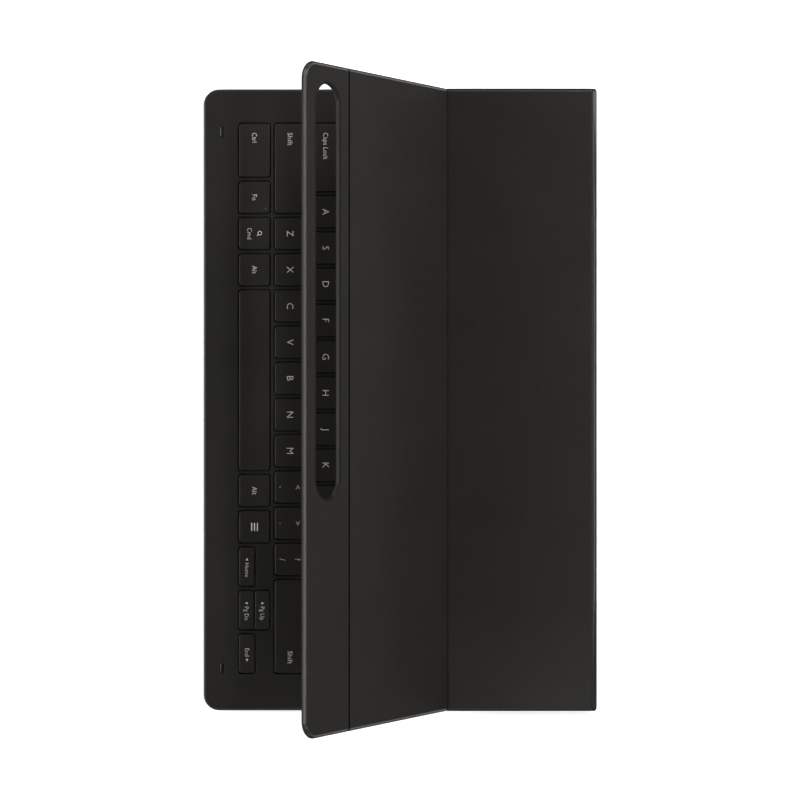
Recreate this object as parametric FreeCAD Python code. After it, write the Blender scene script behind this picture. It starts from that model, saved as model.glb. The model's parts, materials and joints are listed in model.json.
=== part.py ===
import FreeCAD, Part
import math
import os

# Folio keyboard case for a large tablet, lying on a table with the cover folded back at its crease.
# Millimetres. X runs along the key rows, Y from the front edge to the spine, Z up from the table.

# Key field
KEY_PITCH = 19.05
ROW_PITCH = 18.73
KEY_GAP = 2.6
KEY_DEPTH = 16.2
HALF_KEY_DEPTH = 8.3
SPLIT_GAP = 0.5
KEY_CORNER = 1.5
KEY_DRAFT = 0.25
KEY_CLEARANCE = 0.65
KEY_FACETS = 2
CAP_THICKNESS = 1.5
KEY_RISE = 0.2
DOME_BASE = 5.0
DOME_TOP = 2.8
DOME_HEIGHT = 1.88
DOME_CLEARANCE = 0.02

# Deck margins round the key field, and its layers
LEFT_MARGIN = 18.3
RIGHT_MARGIN = 19.85
FRONT_MARGIN = 18.77
REAR_DEPTH = 82.91
FRONT_CORNER = 8.2
REAR_CORNER = 2.0
DECK_EDGE_ROUND = 0.6
BOTTOM_SKIN = 0.4
TRAY_FLOOR = 0.6
TRAY_WALL = 2.0
FRAME_THICKNESS = 1.2
BASE_PLATE = 0.5
MEMBRANE = 0.3
PLATE_MARGIN = 3.0
MEMBRANE_MARGIN = 1.5
RIB_WIDTH = 1.2
RIB_COUNT = 6
RIB_END_GAP = 6.0

# Dock for the tablet's lower edge
DOCK_OFFSET = 2.9
DOCK_WIDTH = 7.0
DOCK_LENGTH = 286.0
DOCK_DEPTH = 0.6
DOCK_RAIL = 0.3
POGO_LENGTH = 16.0
POGO_WIDTH = 4.4
PIN_COUNT = 3
PIN_SPACING = 4.0
PIN_DIAMETER = 1.4
PIN_CLEARANCE = 0.05
PIN_RISE = 0.5
PIN_TRAVEL = 0.5
PIN_LENGTH = 2.4
DOCK_MAGNET_COUNT = 6
DOCK_MAGNET_LENGTH = 24.0
DOCK_MAGNET_WIDTH = 4.5
DOCK_MAGNET_HEIGHT = 2.4
BOARD_LENGTH = 72.0
BOARD_WIDTH = 26.0
BOARD_OFFSET = 22.0
CHIP_COUNT = 2
CHIP_SIZE = 9.0
CHIP_HEIGHT = 1.0
RIBBON_WIDTH = 9.0
RIBBON_THICKNESS = 0.2
RIBBON_LAP = 2.0
RIBBON_CLEARANCE = 1.5

# Front bumpers that keep the screen off the keys
BUMPER_LENGTH = 5.6
BUMPER_WIDTH = 1.8
BUMPER_RISE = 0.5
BUMPER_SEAT = 0.4
BUMPER_SIDE = 22.3
BUMPER_FRONT = 9.6

# Cover panels and spine
TABLET_GAP = 6.0
COVER_INSET = 0.725
COVER_FRONT_SETBACK = 1.02
PANEL_THICKNESS = 2.5
PANEL_SKIN = 0.5
PANEL_LINING = 0.5
LINING_INSET = 0.8
EDGE_BEVEL = 1.5
FREE_CORNER = 9.5
LOWER_PANEL_DEPTH = 77.29
SPINE_THICKNESS = 2.5
SPINE_WRAP = 0.5
SPINE_AXIS_HEIGHT = 1.5
SPINE_CLEARANCE = 0.13
SPINE_FIT = 0.08
CRADLE_REACH = 0.7
CAP_REACH = 0.46

# Fold lines across the cover
FOLD_ANGLE = 56.4
FOLD_AXIS_DEPTH = 0.5
FOLD_GAP = 0.1
CREASE_HALF_WIDTH = 1.0
SEAM_HALF_WIDTH = 0.8
BEAD_RADIUS = 0.42
BEAD_FIT = 0.06
SEAM_TURN_ANGLE = 45

# Pen slot and magnets in the cover
SLOT_FRONT_MARGIN = 9.55
SLOT_WIDTH = 19.35
SLOT_REAR_MARGIN = 8.2
SLOT_END_MARGIN = 9.9
SLOT_LENGTH = 201.0
SLOT_RIM = 0.8
COVER_MAGNET_COUNT = 5
COVER_MAGNET_LENGTH = 38.0
COVER_MAGNET_WIDTH = 10.0
STRIP_MAGNET_COUNT = 3
STRIP_MAGNET_LENGTH = 20.0
STRIP_MAGNET_WIDTH = 8.0
MAGNET_THICKNESS = 1.0
MAGNET_SIDE_MARGIN = 22.0
MAGNET_SEAM_MARGIN = 14.0

# Key rows from the front: node name and width in key units, or widths alone where a row is one node
ROW_1 = [
    ("key_ctrl", 1.6), ("key_fn", 1.0), ("key_command", 1.0), ("key_alt_left", 1.0),
    ("key_space", 5.1), ("key_alt_right", 1.0), ("key_menu", 1.0),
    ("key_arrow_left", 1.2), ("key_arrow_split", 1.2), ("key_arrow_right", 1.2),
]
ROW_2 = (
    [("key_shift_left", 2.6)]
    + [("key_" + name, 1.0) for name in "z x c v b n m comma period slash".split()]
    + [("key_shift_right", 2.7)]
)
ROW_3 = [2.0] + 11 * [1.0] + [2.3]
ROW_4 = [1.75] + 12 * [1.0] + [1.55]
ROW_5 = [1.25] + 12 * [1.0] + [2.05]
FUNCTION_KEYS = 14
ROW_UNITS = sum(units for name, units in ROW_1)
FULL_ROW_COUNT = 5

# Places that follow from the sizes above
FIELD_LENGTH = ROW_UNITS * KEY_PITCH - KEY_GAP
DECK_LENGTH = LEFT_MARGIN + FIELD_LENGTH + RIGHT_MARGIN
FIELD_LEFT = LEFT_MARGIN - DECK_LENGTH / 2
FIELD_DEPTH = FULL_ROW_COUNT * ROW_PITCH + HALF_KEY_DEPTH
DECK_DEPTH = FRONT_MARGIN + FIELD_DEPTH + REAR_DEPTH
CASE_DEPTH = DECK_DEPTH + SPINE_CLEARANCE + SPINE_THICKNESS
DECK_FRONT = -CASE_DEPTH / 2
DECK_REAR = DECK_FRONT + DECK_DEPTH
FIELD_FRONT = DECK_FRONT + FRONT_MARGIN
FIELD_REAR = FIELD_FRONT + FIELD_DEPTH
TRAY_TOP = BOTTOM_SKIN + TRAY_FLOOR
PLATE_TOP = TRAY_TOP + BASE_PLATE
MEMBRANE_TOP = PLATE_TOP + MEMBRANE
CAP_BOTTOM = MEMBRANE_TOP + DOME_HEIGHT + DOME_CLEARANCE
CAP_TOP = CAP_BOTTOM + CAP_THICKNESS
DECK_TOP = CAP_TOP - KEY_RISE
FRAME_BOTTOM = DECK_TOP - FRAME_THICKNESS
DOCK_FLOOR = DECK_TOP - DOCK_DEPTH
RAIL_TOP = DOCK_FLOOR + DOCK_RAIL
DOCK_Y = FIELD_REAR + DOCK_OFFSET + DOCK_WIDTH / 2
BOARD_FRONT = DOCK_Y + DOCK_WIDTH / 2 + BOARD_OFFSET
COVER_LENGTH = DECK_LENGTH - 2 * COVER_INSET
COVER_INNER = DECK_TOP + TABLET_GAP
COVER_OUTER = COVER_INNER + PANEL_THICKNESS
COVER_FRONT = DECK_FRONT + COVER_FRONT_SETBACK
LINING_TOP = COVER_INNER + PANEL_LINING
SKIN_BOTTOM = COVER_OUTER - PANEL_SKIN
SPINE_Y = CASE_DEPTH / 2 - SPINE_THICKNESS / 2
SPINE_RADIUS = SPINE_THICKNESS / 2
COVER_AXIS_Z = COVER_OUTER - PANEL_THICKNESS / 2
COVER_REAR = DECK_REAR
FOLD_Z = COVER_OUTER - FOLD_AXIS_DEPTH
CREASE_Y = SPINE_Y - LOWER_PANEL_DEPTH
STRIP_DEPTH = SLOT_FRONT_MARGIN + SLOT_WIDTH + SLOT_REAR_MARGIN
SEAM_Y = COVER_FRONT + STRIP_DEPTH
SLOT_Y = COVER_FRONT + SLOT_FRONT_MARGIN + SLOT_WIDTH / 2
SLOT_LEFT = SLOT_END_MARGIN - COVER_LENGTH / 2
SLOT_RIGHT = SLOT_LEFT + SLOT_LENGTH


def vec(x, y, z=0.0):
    return FreeCAD.Vector(x, y, z)


def corner_arc(cx, cy, radius, start):
    """A quarter circle about (cx, cy), counter-clockwise from the start angle in degrees."""
    angles = [math.radians(start + step) for step in (0, 45, 90)]
    return Part.Arc(*[vec(cx + radius * math.cos(a), cy + radius * math.sin(a)) for a in angles]).toShape()


def rounded_outline(x0, x1, y0, y1, front, rear=None):
    """A closed rectangle with one corner radius at its front and one at its rear."""
    rear = front if rear is None else rear
    corners = [
        (x1 - front, y0 + front, front, -90),
        (x1 - rear, y1 - rear, rear, 0),
        (x0 + rear, y1 - rear, rear, 90),
        (x0 + front, y0 + front, front, 180),
    ]
    arcs = [corner_arc(*corner) if corner[2] > 0 else None for corner in corners]
    ends = []
    for (cx, cy, radius, start), arc in zip(corners, arcs):
        first = arc.firstVertex().Point if arc else vec(cx, cy)
        last = arc.lastVertex().Point if arc else vec(cx, cy)
        ends.append((first, last))
    edges = []
    for index, arc in enumerate(arcs):
        edges.append(Part.makeLine(ends[index - 1][1], ends[index][0]))
        if arc:
            edges.append(arc)
    return Part.Wire(edges)


def faceted_outline(x0, x1, y0, y1, radius, facets):
    """A closed rectangle whose small round corners are a few straight facets each."""
    centres = [
        (x1 - radius, y0 + radius),
        (x1 - radius, y1 - radius),
        (x0 + radius, y1 - radius),
        (x0 + radius, y0 + radius),
    ]
    points = []
    for quarter, (cx, cy) in enumerate(centres):
        for step in range(facets + 1):
            angle = math.radians(90 * (quarter - 1 + step / facets))
            points.append(vec(cx + radius * math.cos(angle), cy + radius * math.sin(angle)))
    return Part.makePolygon(points + points[:1])


def stadium(x0, x1, y_mid, width):
    """A closed slot outline with half-round ends along X."""
    half = width / 2
    front = y_mid - half
    rear = y_mid + half
    edges = [
        Part.makeLine(vec(x0 + half, front), vec(x1 - half, front)),
        Part.Arc(vec(x1 - half, front), vec(x1, y_mid), vec(x1 - half, rear)).toShape(),
        Part.makeLine(vec(x1 - half, rear), vec(x0 + half, rear)),
        Part.Arc(vec(x0 + half, rear), vec(x0, y_mid), vec(x0 + half, front)).toShape(),
    ]
    return Part.Wire(edges)


def prism(wires, z0, z1):
    """A plate between two heights, from its outline and the outlines of its holes."""
    face = Part.makeFace(wires, "Part::FaceMakerBullseye")
    face.translate(vec(0, 0, z0))
    return face.extrude(vec(0, 0, z1 - z0))


def box(x0, x1, y0, y1, z0, z1):
    return Part.makeBox(x1 - x0, y1 - y0, z1 - z0, vec(x0, y0, z0))


def bar(length, points):
    """A straight bar of a (y, z) section, centred along X."""
    corners = [vec(-length / 2, y, z) for y, z in points]
    face = Part.Face(Part.makePolygon(corners + corners[:1]))
    return face.extrude(vec(length, 0, 0))


def rod(length, y, z, radius):
    """A round bar along X."""
    bar_end = vec(-length / 2, y, z)
    shape = Part.makeCylinder(radius, length, bar_end, vec(1, 0, 0))
    shape.rotate(bar_end, vec(1, 0, 0), SEAM_TURN_ANGLE)
    return shape


def spaced(count, low, high):
    """Centres of count pieces spread evenly between two ends."""
    step = (high - low) / count
    return [low + step * (index + 0.5) for index in range(count)]


def write(name, shapes):
    """Writes one node from a solid or a list of separate solids."""
    shape = Part.Compound(shapes) if isinstance(shapes, list) else shapes
    shape.exportStep("parts/" + name + ".step")


# Key field


def key_boxes():
    """Every key as (node, x0, x1, y0, y1), row by row from the front."""
    keys = []

    def lay_row(row, y, depth, node=None):
        x = FIELD_LEFT
        for name, units in row:
            x1 = x + units * KEY_PITCH - KEY_GAP
            keys.append((node or name, x, x1, y, y + depth))
            x = x1 + KEY_GAP

    lay_row(ROW_1, FIELD_FRONT, KEY_DEPTH)
    lay_row(ROW_2, FIELD_FRONT + ROW_PITCH, KEY_DEPTH)
    back_rows = [("home_row_keys", ROW_3), ("letter_row_keys", ROW_4), ("number_row_keys", ROW_5)]
    for number, (node, units) in enumerate(back_rows, start=2):
        lay_row([(node, u) for u in units], FIELD_FRONT + number * ROW_PITCH, KEY_DEPTH)
    function_row = FUNCTION_KEYS * [("function_row_keys", ROW_UNITS / FUNCTION_KEYS)]
    lay_row(function_row, FIELD_FRONT + FULL_ROW_COUNT * ROW_PITCH, HALF_KEY_DEPTH)
    return keys


def arrow_halves(keys):
    """Shortens the side arrows to the front half and splits the middle one in two."""
    result = []
    split_depth = (KEY_DEPTH - SPLIT_GAP) / 2
    for node, x0, x1, y0, y1 in keys:
        if node in ("key_arrow_left", "key_arrow_right"):
            result.append((node, x0, x1, y0, y0 + HALF_KEY_DEPTH))
        elif node == "key_arrow_split":
            result.append(("key_arrow_down", x0, x1, y0, y0 + split_depth))
            result.append(("key_arrow_up", x0, x1, y1 - split_depth, y1))
        else:
            result.append((node, x0, x1, y0, y1))
    return result


def frame_openings(keys):
    """One opening round each key with clipped corners, shared by the two split arrows."""
    openings = []
    c = KEY_CLEARANCE
    clip = (KEY_CORNER + c) * (2 - math.sqrt(2))
    for node, x0, x1, y0, y1 in keys:
        if node in ("key_arrow_left", "key_arrow_right"):
            y1 = y0 + HALF_KEY_DEPTH
        openings.append(faceted_outline(x0 - c, x1 + c, y0 - c, y1 + c, clip, 1))
    return openings


def key_cap(x0, x1, y0, y1):
    """A flat cap whose sides draw in a little towards the top."""
    base = faceted_outline(x0, x1, y0, y1, KEY_CORNER, KEY_FACETS)
    d = KEY_DRAFT
    top = faceted_outline(x0 + d, x1 - d, y0 + d, y1 - d, KEY_CORNER - d, KEY_FACETS)
    base.translate(vec(0, 0, CAP_BOTTOM))
    top.translate(vec(0, 0, CAP_TOP))
    return Part.makeLoft([base, top], True, True)


def return_dome(x0, x1, y0, y1):
    """The rubber spring under one key, square in plan and narrower at the top."""
    x = (x0 + x1) / 2
    y = (y0 + y1) / 2
    b = DOME_BASE / 2
    t = DOME_TOP / 2
    wedge = Part.makeWedge(-b, 0, -b, -t, -t, b, DOME_HEIGHT, b, t, t)
    wedge.rotate(vec(0, 0, 0), vec(1, 0, 0), 90)
    wedge.translate(vec(x, y, MEMBRANE_TOP))
    return wedge


def make_keys(keys):
    nodes = {}
    for node, x0, x1, y0, y1 in keys:
        nodes.setdefault(node, []).append(key_cap(x0, x1, y0, y1))
    for node, caps in nodes.items():
        write(node, caps if len(caps) > 1 else caps[0])
    write("return_domes", [return_dome(*key[1:]) for key in keys])


# Deck


def deck_outline(inset=0.0):
    half = DECK_LENGTH / 2 - inset
    front = max(FRONT_CORNER - inset, 0)
    rear = max(REAR_CORNER - inset, 0)
    return rounded_outline(-half, half, DECK_FRONT + inset, DECK_REAR - inset, front, rear)


def on_outline(edge, x_half, y0, y1):
    """Whether an edge lies on the outer rim of a plate of this size."""
    b = edge.BoundBox
    near = 1e-4
    return b.XMax > x_half - near or b.XMin < near - x_half or b.YMin < y0 + near or b.YMax > y1 - near


def bumper_places():
    x = DECK_LENGTH / 2 - BUMPER_SIDE
    y = DECK_FRONT + BUMPER_FRONT
    return [(-x, y), (x, y)]


def bumper_outline(x, y):
    return stadium(x - BUMPER_LENGTH / 2, x + BUMPER_LENGTH / 2, y, BUMPER_WIDTH)


def pogo_outline():
    return rounded_outline(
        -POGO_LENGTH / 2, POGO_LENGTH / 2, DOCK_Y - POGO_WIDTH / 2, DOCK_Y + POGO_WIDTH / 2, 0
    )


def dock_outline():
    return stadium(-DOCK_LENGTH / 2, DOCK_LENGTH / 2, DOCK_Y, DOCK_WIDTH)


def make_top_frame(openings):
    frame = prism([deck_outline()] + openings, FRAME_BOTTOM, DECK_TOP)
    rim = [
        edge
        for edge in frame.Edges
        if edge.BoundBox.ZMin > DECK_TOP - 1e-4
        and on_outline(edge, DECK_LENGTH / 2, DECK_FRONT, DECK_REAR)
    ]
    frame = frame.makeFillet(min(DECK_EDGE_ROUND, FRAME_THICKNESS / 2), rim)
    cuts = [
        prism([dock_outline()], DOCK_FLOOR, DECK_TOP),
        prism([pogo_outline()], FRAME_BOTTOM, DECK_TOP),
    ]
    cuts += [prism([bumper_outline(x, y)], DECK_TOP - BUMPER_SEAT, DECK_TOP) for x, y in bumper_places()]
    write("top_frame", frame.cut(cuts))


def make_bottom_skin():
    """The skin under the deck, with a cradle along its rear edge for the spine's lower bead."""
    sheet = prism([deck_outline()], 0, BOTTOM_SKIN)
    length = DECK_LENGTH - 2 * REAR_CORNER
    cradle = box(
        -length / 2, length / 2, DECK_REAR, DECK_REAR + CRADLE_REACH, 0, SPINE_AXIS_HEIGHT
    )
    cradle = cradle.cut(rod(DECK_LENGTH, SPINE_Y, SPINE_AXIS_HEIGHT, SPINE_RADIUS + SPINE_FIT))
    write("bottom_skin", sheet.fuse(cradle).removeSplitter())


def make_bottom_tray():
    """The lower shell: a floor, a wall under the frame's rim, and ribs under the palm of the rear deck."""
    floor = prism([deck_outline()], BOTTOM_SKIN, TRAY_TOP)
    wall = prism([deck_outline(), deck_outline(TRAY_WALL)], TRAY_TOP, FRAME_BOTTOM)
    tray = floor.fuse(wall)
    rib_front = BOARD_FRONT + BOARD_WIDTH + RIB_END_GAP
    rib_rear = DECK_REAR - TRAY_WALL - RIB_END_GAP
    inside = DECK_LENGTH / 2 - TRAY_WALL
    ribs = [
        box(x - RIB_WIDTH / 2, x + RIB_WIDTH / 2, rib_front, rib_rear, TRAY_TOP, FRAME_BOTTOM)
        for x in spaced(RIB_COUNT, -inside, inside)
    ]
    write("bottom_tray", tray.fuse(ribs).removeSplitter())


def field_sheet(margin, z0, z1):
    outline = rounded_outline(
        FIELD_LEFT - margin, FIELD_LEFT + FIELD_LENGTH + margin, FIELD_FRONT - margin,
        FIELD_REAR + margin, 0,
    )
    return prism([outline], z0, z1)


def make_dock():
    rail = prism([dock_outline(), pogo_outline()], DOCK_FLOOR, RAIL_TOP)
    write("dock_rail", rail)
    housing = prism([pogo_outline()], TRAY_TOP, RAIL_TOP)
    pin_bottom = RAIL_TOP + PIN_RISE - PIN_LENGTH
    bore_bottom = pin_bottom - PIN_TRAVEL - PIN_CLEARANCE
    span = PIN_SPACING * PIN_COUNT / 2
    places = spaced(PIN_COUNT, -span, span)
    bore = PIN_DIAMETER / 2 + PIN_CLEARANCE
    bores = [Part.makeCylinder(bore, RAIL_TOP - bore_bottom, vec(x, DOCK_Y, bore_bottom)) for x in places]
    write("pogo_housing", housing.cut(bores))
    pins = [Part.makeCylinder(PIN_DIAMETER / 2, PIN_LENGTH, vec(x, DOCK_Y, pin_bottom)) for x in places]
    write("pogo_pins", pins)
    magnets = []
    reach = DOCK_LENGTH / 2
    half_count = DOCK_MAGNET_COUNT // 2
    for x in spaced(half_count, -reach, -POGO_LENGTH) + spaced(half_count, POGO_LENGTH, reach):
        magnets.append(
            box(
                x - DOCK_MAGNET_LENGTH / 2, x + DOCK_MAGNET_LENGTH / 2,
                DOCK_Y - DOCK_MAGNET_WIDTH / 2, DOCK_Y + DOCK_MAGNET_WIDTH / 2,
                FRAME_BOTTOM - DOCK_MAGNET_HEIGHT, FRAME_BOTTOM,
            )
        )
    write("dock_magnets", magnets)


def make_electronics():
    """The controller board, level with the membrane, and the ribbon that joins the two."""
    board_rear = BOARD_FRONT + BOARD_WIDTH
    half = BOARD_LENGTH / 2
    board = box(-half, half, BOARD_FRONT, board_rear, TRAY_TOP, MEMBRANE_TOP)
    y = (BOARD_FRONT + board_rear) / 2
    c = CHIP_SIZE / 2
    chips = [
        box(x - c, x + c, y - c, y + c, MEMBRANE_TOP, MEMBRANE_TOP + CHIP_HEIGHT)
        for x in spaced(CHIP_COUNT, -half, half)
    ]
    write("controller_board", board.fuse(chips))
    ribbon_right = -POGO_LENGTH / 2 - RIBBON_CLEARANCE
    ribbon = box(
        ribbon_right - RIBBON_WIDTH, ribbon_right,
        FIELD_REAR + MEMBRANE_MARGIN - RIBBON_LAP, BOARD_FRONT + RIBBON_LAP,
        MEMBRANE_TOP, MEMBRANE_TOP + RIBBON_THICKNESS,
    )
    write("ribbon_cable", ribbon)


def make_deck(keys):
    make_top_frame(frame_openings(keys))
    make_bottom_skin()
    make_bottom_tray()
    write("base_plate", field_sheet(PLATE_MARGIN, TRAY_TOP, PLATE_TOP))
    write("membrane_sheet", field_sheet(MEMBRANE_MARGIN, PLATE_TOP, MEMBRANE_TOP))
    bumpers = [
        prism([bumper_outline(x, y)], DECK_TOP - BUMPER_SEAT, DECK_TOP + BUMPER_RISE)
        for x, y in bumper_places()
    ]
    write("front_bumpers", bumpers)
    make_dock()
    make_electronics()


# Spine and cover


def make_spine():
    """A stiff core with half-round edges, wrapped in the cover's skin."""

    def section(radius):
        return stadium(SPINE_AXIS_HEIGHT - radius, COVER_AXIS_Z + radius, 0, 2 * radius)

    def upright(shape):
        shape.rotate(vec(0, 0, 0), vec(0, 1, 0), -90)
        shape.translate(vec(COVER_LENGTH / 2, SPINE_Y, 0))
        return shape

    outer = section(SPINE_RADIUS)
    inner = section(SPINE_RADIUS - SPINE_WRAP)
    write("spine_skin", upright(prism([outer, inner], 0, COVER_LENGTH)))
    write("spine_core", upright(prism([inner], 0, COVER_LENGTH)))


def cover_blank():
    """The whole cover lying flat and closed, bevelled along its sides and free edge."""
    half = COVER_LENGTH / 2
    rear = COVER_REAR + CAP_REACH
    outline = rounded_outline(-half, half, COVER_FRONT, rear, FREE_CORNER, 0)
    blank = prism([outline], COVER_INNER, COVER_OUTER)
    rim = [
        edge
        for edge in blank.Edges
        if edge.BoundBox.ZMin > COVER_OUTER - 1e-4
        and edge.BoundBox.YMin < rear - 1e-4
        and on_outline(edge, half, COVER_FRONT, rear + 1)
    ]
    blank = blank.makeChamfer(EDGE_BEVEL, rim)
    rear_step = box(-half, half, COVER_REAR, rear, COVER_INNER, COVER_AXIS_Z)
    bead_cup = rod(COVER_LENGTH, SPINE_Y, COVER_AXIS_Z, SPINE_RADIUS + SPINE_FIT)
    return blank.cut([rear_step, bead_cup])


def lining_blank():
    half = COVER_LENGTH / 2 - LINING_INSET
    outline = rounded_outline(
        -half, half, COVER_FRONT + LINING_INSET, COVER_REAR - LINING_INSET, FREE_CORNER - LINING_INSET, 0
    )
    return prism([outline], COVER_INNER, LINING_TOP)


def fold_wall(y, side, half_width):
    """The (y, z) points of a panel's edge at a fold line, from its inner to its outer face."""
    slope = FOLD_AXIS_DEPTH / half_width
    wall = y + side * FOLD_GAP
    return [
        (wall, COVER_INNER),
        (wall, FOLD_Z + FOLD_GAP * slope),
        (y + side * half_width, COVER_OUTER),
    ]


def panel_zone(front_wall, rear_wall):
    """The space of one panel between the walls of two fold lines."""
    return bar(COVER_LENGTH, front_wall + rear_wall[::-1])


def fold_bead(y, zone):
    """The rounded welt along a fold line, seated on the panel that fills the zone."""
    return rod(COVER_LENGTH - 2 * EDGE_BEVEL, y, FOLD_Z, BEAD_RADIUS).cut(zone)


def fold_cup(y):
    return rod(COVER_LENGTH, y, FOLD_Z, BEAD_RADIUS + BEAD_FIT)


def cover_layers():
    """The flat cover as its three sheets: outer skin, stiff core and inner lining."""
    blank = cover_blank()
    half = DECK_LENGTH / 2
    skin_zone = box(-half, half, DECK_FRONT, CASE_DEPTH / 2, SKIN_BOTTOM, COVER_OUTER)
    core_zone = box(-half, half, DECK_FRONT, CASE_DEPTH / 2, LINING_TOP, SKIN_BOTTOM)
    return {
        "skin": blank.common(skin_zone),
        "core": blank.common(core_zone),
        "lining": lining_blank(),
    }


def folded(shape):
    """Turns a flat piece up about the crease."""
    turned = shape.copy()
    turned.rotate(vec(0, CREASE_Y, FOLD_Z), vec(1, 0, 0), -FOLD_ANGLE)
    return turned


def as_laid(shape):
    return shape


def magnet_bar(x, y, length, width):
    """A flat magnet lying on the lining."""
    top = LINING_TOP + MAGNET_THICKNESS
    return box(x - length / 2, x + length / 2, y - width / 2, y + width / 2, LINING_TOP, top)


def write_panel(prefix, layers, zone, cuts, magnets, place):
    """Writes one panel's three sheets, with pockets for its magnets in the core."""
    for sheet, whole in layers.items():
        piece = whole.common(zone)
        hollows = cuts + magnets if sheet == "core" else cuts
        if hollows:
            piece = piece.cut(hollows)
        write(prefix + "_" + sheet, place(piece))


def make_lower_panel(layers):
    rear = [(CASE_DEPTH / 2, COVER_INNER), (CASE_DEPTH / 2, COVER_OUTER)]
    zone = panel_zone(fold_wall(CREASE_Y, 1, CREASE_HALF_WIDTH), rear)
    write_panel("lower", layers, zone, [], [], as_laid)
    write("crease_welt", fold_bead(CREASE_Y, zone))


def make_upper_panel(layers):
    zone = panel_zone(
        fold_wall(SEAM_Y, 1, SEAM_HALF_WIDTH), fold_wall(CREASE_Y, -1, CREASE_HALF_WIDTH)
    )
    inside = COVER_LENGTH / 2 - MAGNET_SIDE_MARGIN
    magnets = [
        magnet_bar(x, y, COVER_MAGNET_LENGTH, COVER_MAGNET_WIDTH)
        for y in (SEAM_Y + MAGNET_SEAM_MARGIN, CREASE_Y - MAGNET_SEAM_MARGIN)
        for x in spaced(COVER_MAGNET_COUNT, -inside, inside)
    ]
    write_panel("upper", layers, zone, [fold_cup(CREASE_Y)], magnets, folded)
    write("cover_magnets", [folded(magnet) for magnet in magnets])
    write("seam_welt", folded(fold_bead(SEAM_Y, zone)))


def make_pen_strip(layers):
    front = [(COVER_FRONT, COVER_INNER), (COVER_FRONT, COVER_OUTER)]
    zone = panel_zone(front, fold_wall(SEAM_Y, -1, SEAM_HALF_WIDTH))
    slot = stadium(SLOT_LEFT, SLOT_RIGHT, SLOT_Y, SLOT_WIDTH)
    around = stadium(SLOT_LEFT - SLOT_RIM, SLOT_RIGHT + SLOT_RIM, SLOT_Y, SLOT_WIDTH + 2 * SLOT_RIM)
    slot_hole = prism([around], COVER_INNER, COVER_OUTER)
    strip_end = COVER_LENGTH / 2 - MAGNET_SIDE_MARGIN / 2
    magnets = [
        magnet_bar(x, SLOT_Y, STRIP_MAGNET_LENGTH, STRIP_MAGNET_WIDTH)
        for x in spaced(STRIP_MAGNET_COUNT, SLOT_RIGHT + SLOT_REAR_MARGIN, strip_end)
    ]
    write_panel("strip", layers, zone, [fold_cup(SEAM_Y), slot_hole], magnets, folded)
    write("strip_magnets", [folded(magnet) for magnet in magnets])
    write("slot_rim", folded(prism([around, slot], COVER_INNER, COVER_OUTER)))


def make_cover():
    layers = cover_layers()
    make_lower_panel(layers)
    make_upper_panel(layers)
    make_pen_strip(layers)


def main():
    os.makedirs("parts", exist_ok=True)
    full_keys = key_boxes()
    make_keys(arrow_halves(full_keys))
    make_deck(full_keys)
    make_spine()
    make_cover()


main()
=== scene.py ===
import json
import math

import bpy
import numpy as np
from mathutils.geometry import delaunay_2d_cdt
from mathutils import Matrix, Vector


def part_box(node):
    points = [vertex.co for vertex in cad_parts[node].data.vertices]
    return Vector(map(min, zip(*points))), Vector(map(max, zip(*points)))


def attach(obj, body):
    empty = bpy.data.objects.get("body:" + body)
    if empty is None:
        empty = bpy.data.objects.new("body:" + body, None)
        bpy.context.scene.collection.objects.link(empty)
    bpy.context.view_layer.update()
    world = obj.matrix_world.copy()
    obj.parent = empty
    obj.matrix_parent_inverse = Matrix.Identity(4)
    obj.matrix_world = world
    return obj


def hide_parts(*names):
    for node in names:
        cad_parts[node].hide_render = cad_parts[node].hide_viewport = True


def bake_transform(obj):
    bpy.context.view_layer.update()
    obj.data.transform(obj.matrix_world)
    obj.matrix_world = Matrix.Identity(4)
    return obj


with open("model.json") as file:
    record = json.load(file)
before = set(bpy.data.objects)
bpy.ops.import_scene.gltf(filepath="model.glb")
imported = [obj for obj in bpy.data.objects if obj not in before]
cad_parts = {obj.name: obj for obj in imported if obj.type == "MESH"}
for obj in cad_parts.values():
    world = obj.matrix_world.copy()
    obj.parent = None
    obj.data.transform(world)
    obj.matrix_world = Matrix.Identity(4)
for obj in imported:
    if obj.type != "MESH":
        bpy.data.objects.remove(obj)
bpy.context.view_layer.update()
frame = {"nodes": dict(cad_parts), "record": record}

bl_info = {
    "name": "Tablet keyboard case",
    "version": (1, 0, 0),
    "blender": (4, 5, 0),
    "location": "View3D > Sidebar > Keyboard case",
    "description": "Dresses the packed keyboard case with its skins, linings, key caps, legends and studio",
    "category": "Object",
}

MM = 0.001

# Places of the solids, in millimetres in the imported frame
DECK_LOW, DECK_HIGH = [np.array(corner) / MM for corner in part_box("top_frame")]
DECK_HALF = DECK_HIGH[0]
DECK_FRONT = DECK_LOW[1]
DECK_REAR = DECK_HIGH[1]
FRAME_BOTTOM = DECK_LOW[2]
DECK_TOP = DECK_HIGH[2]
DECK_BOX = (-DECK_HALF, DECK_HALF, DECK_FRONT, DECK_REAR)
CAP_BOTTOM, CAP_TOP = [corner[2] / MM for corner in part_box("key_space")]
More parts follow.
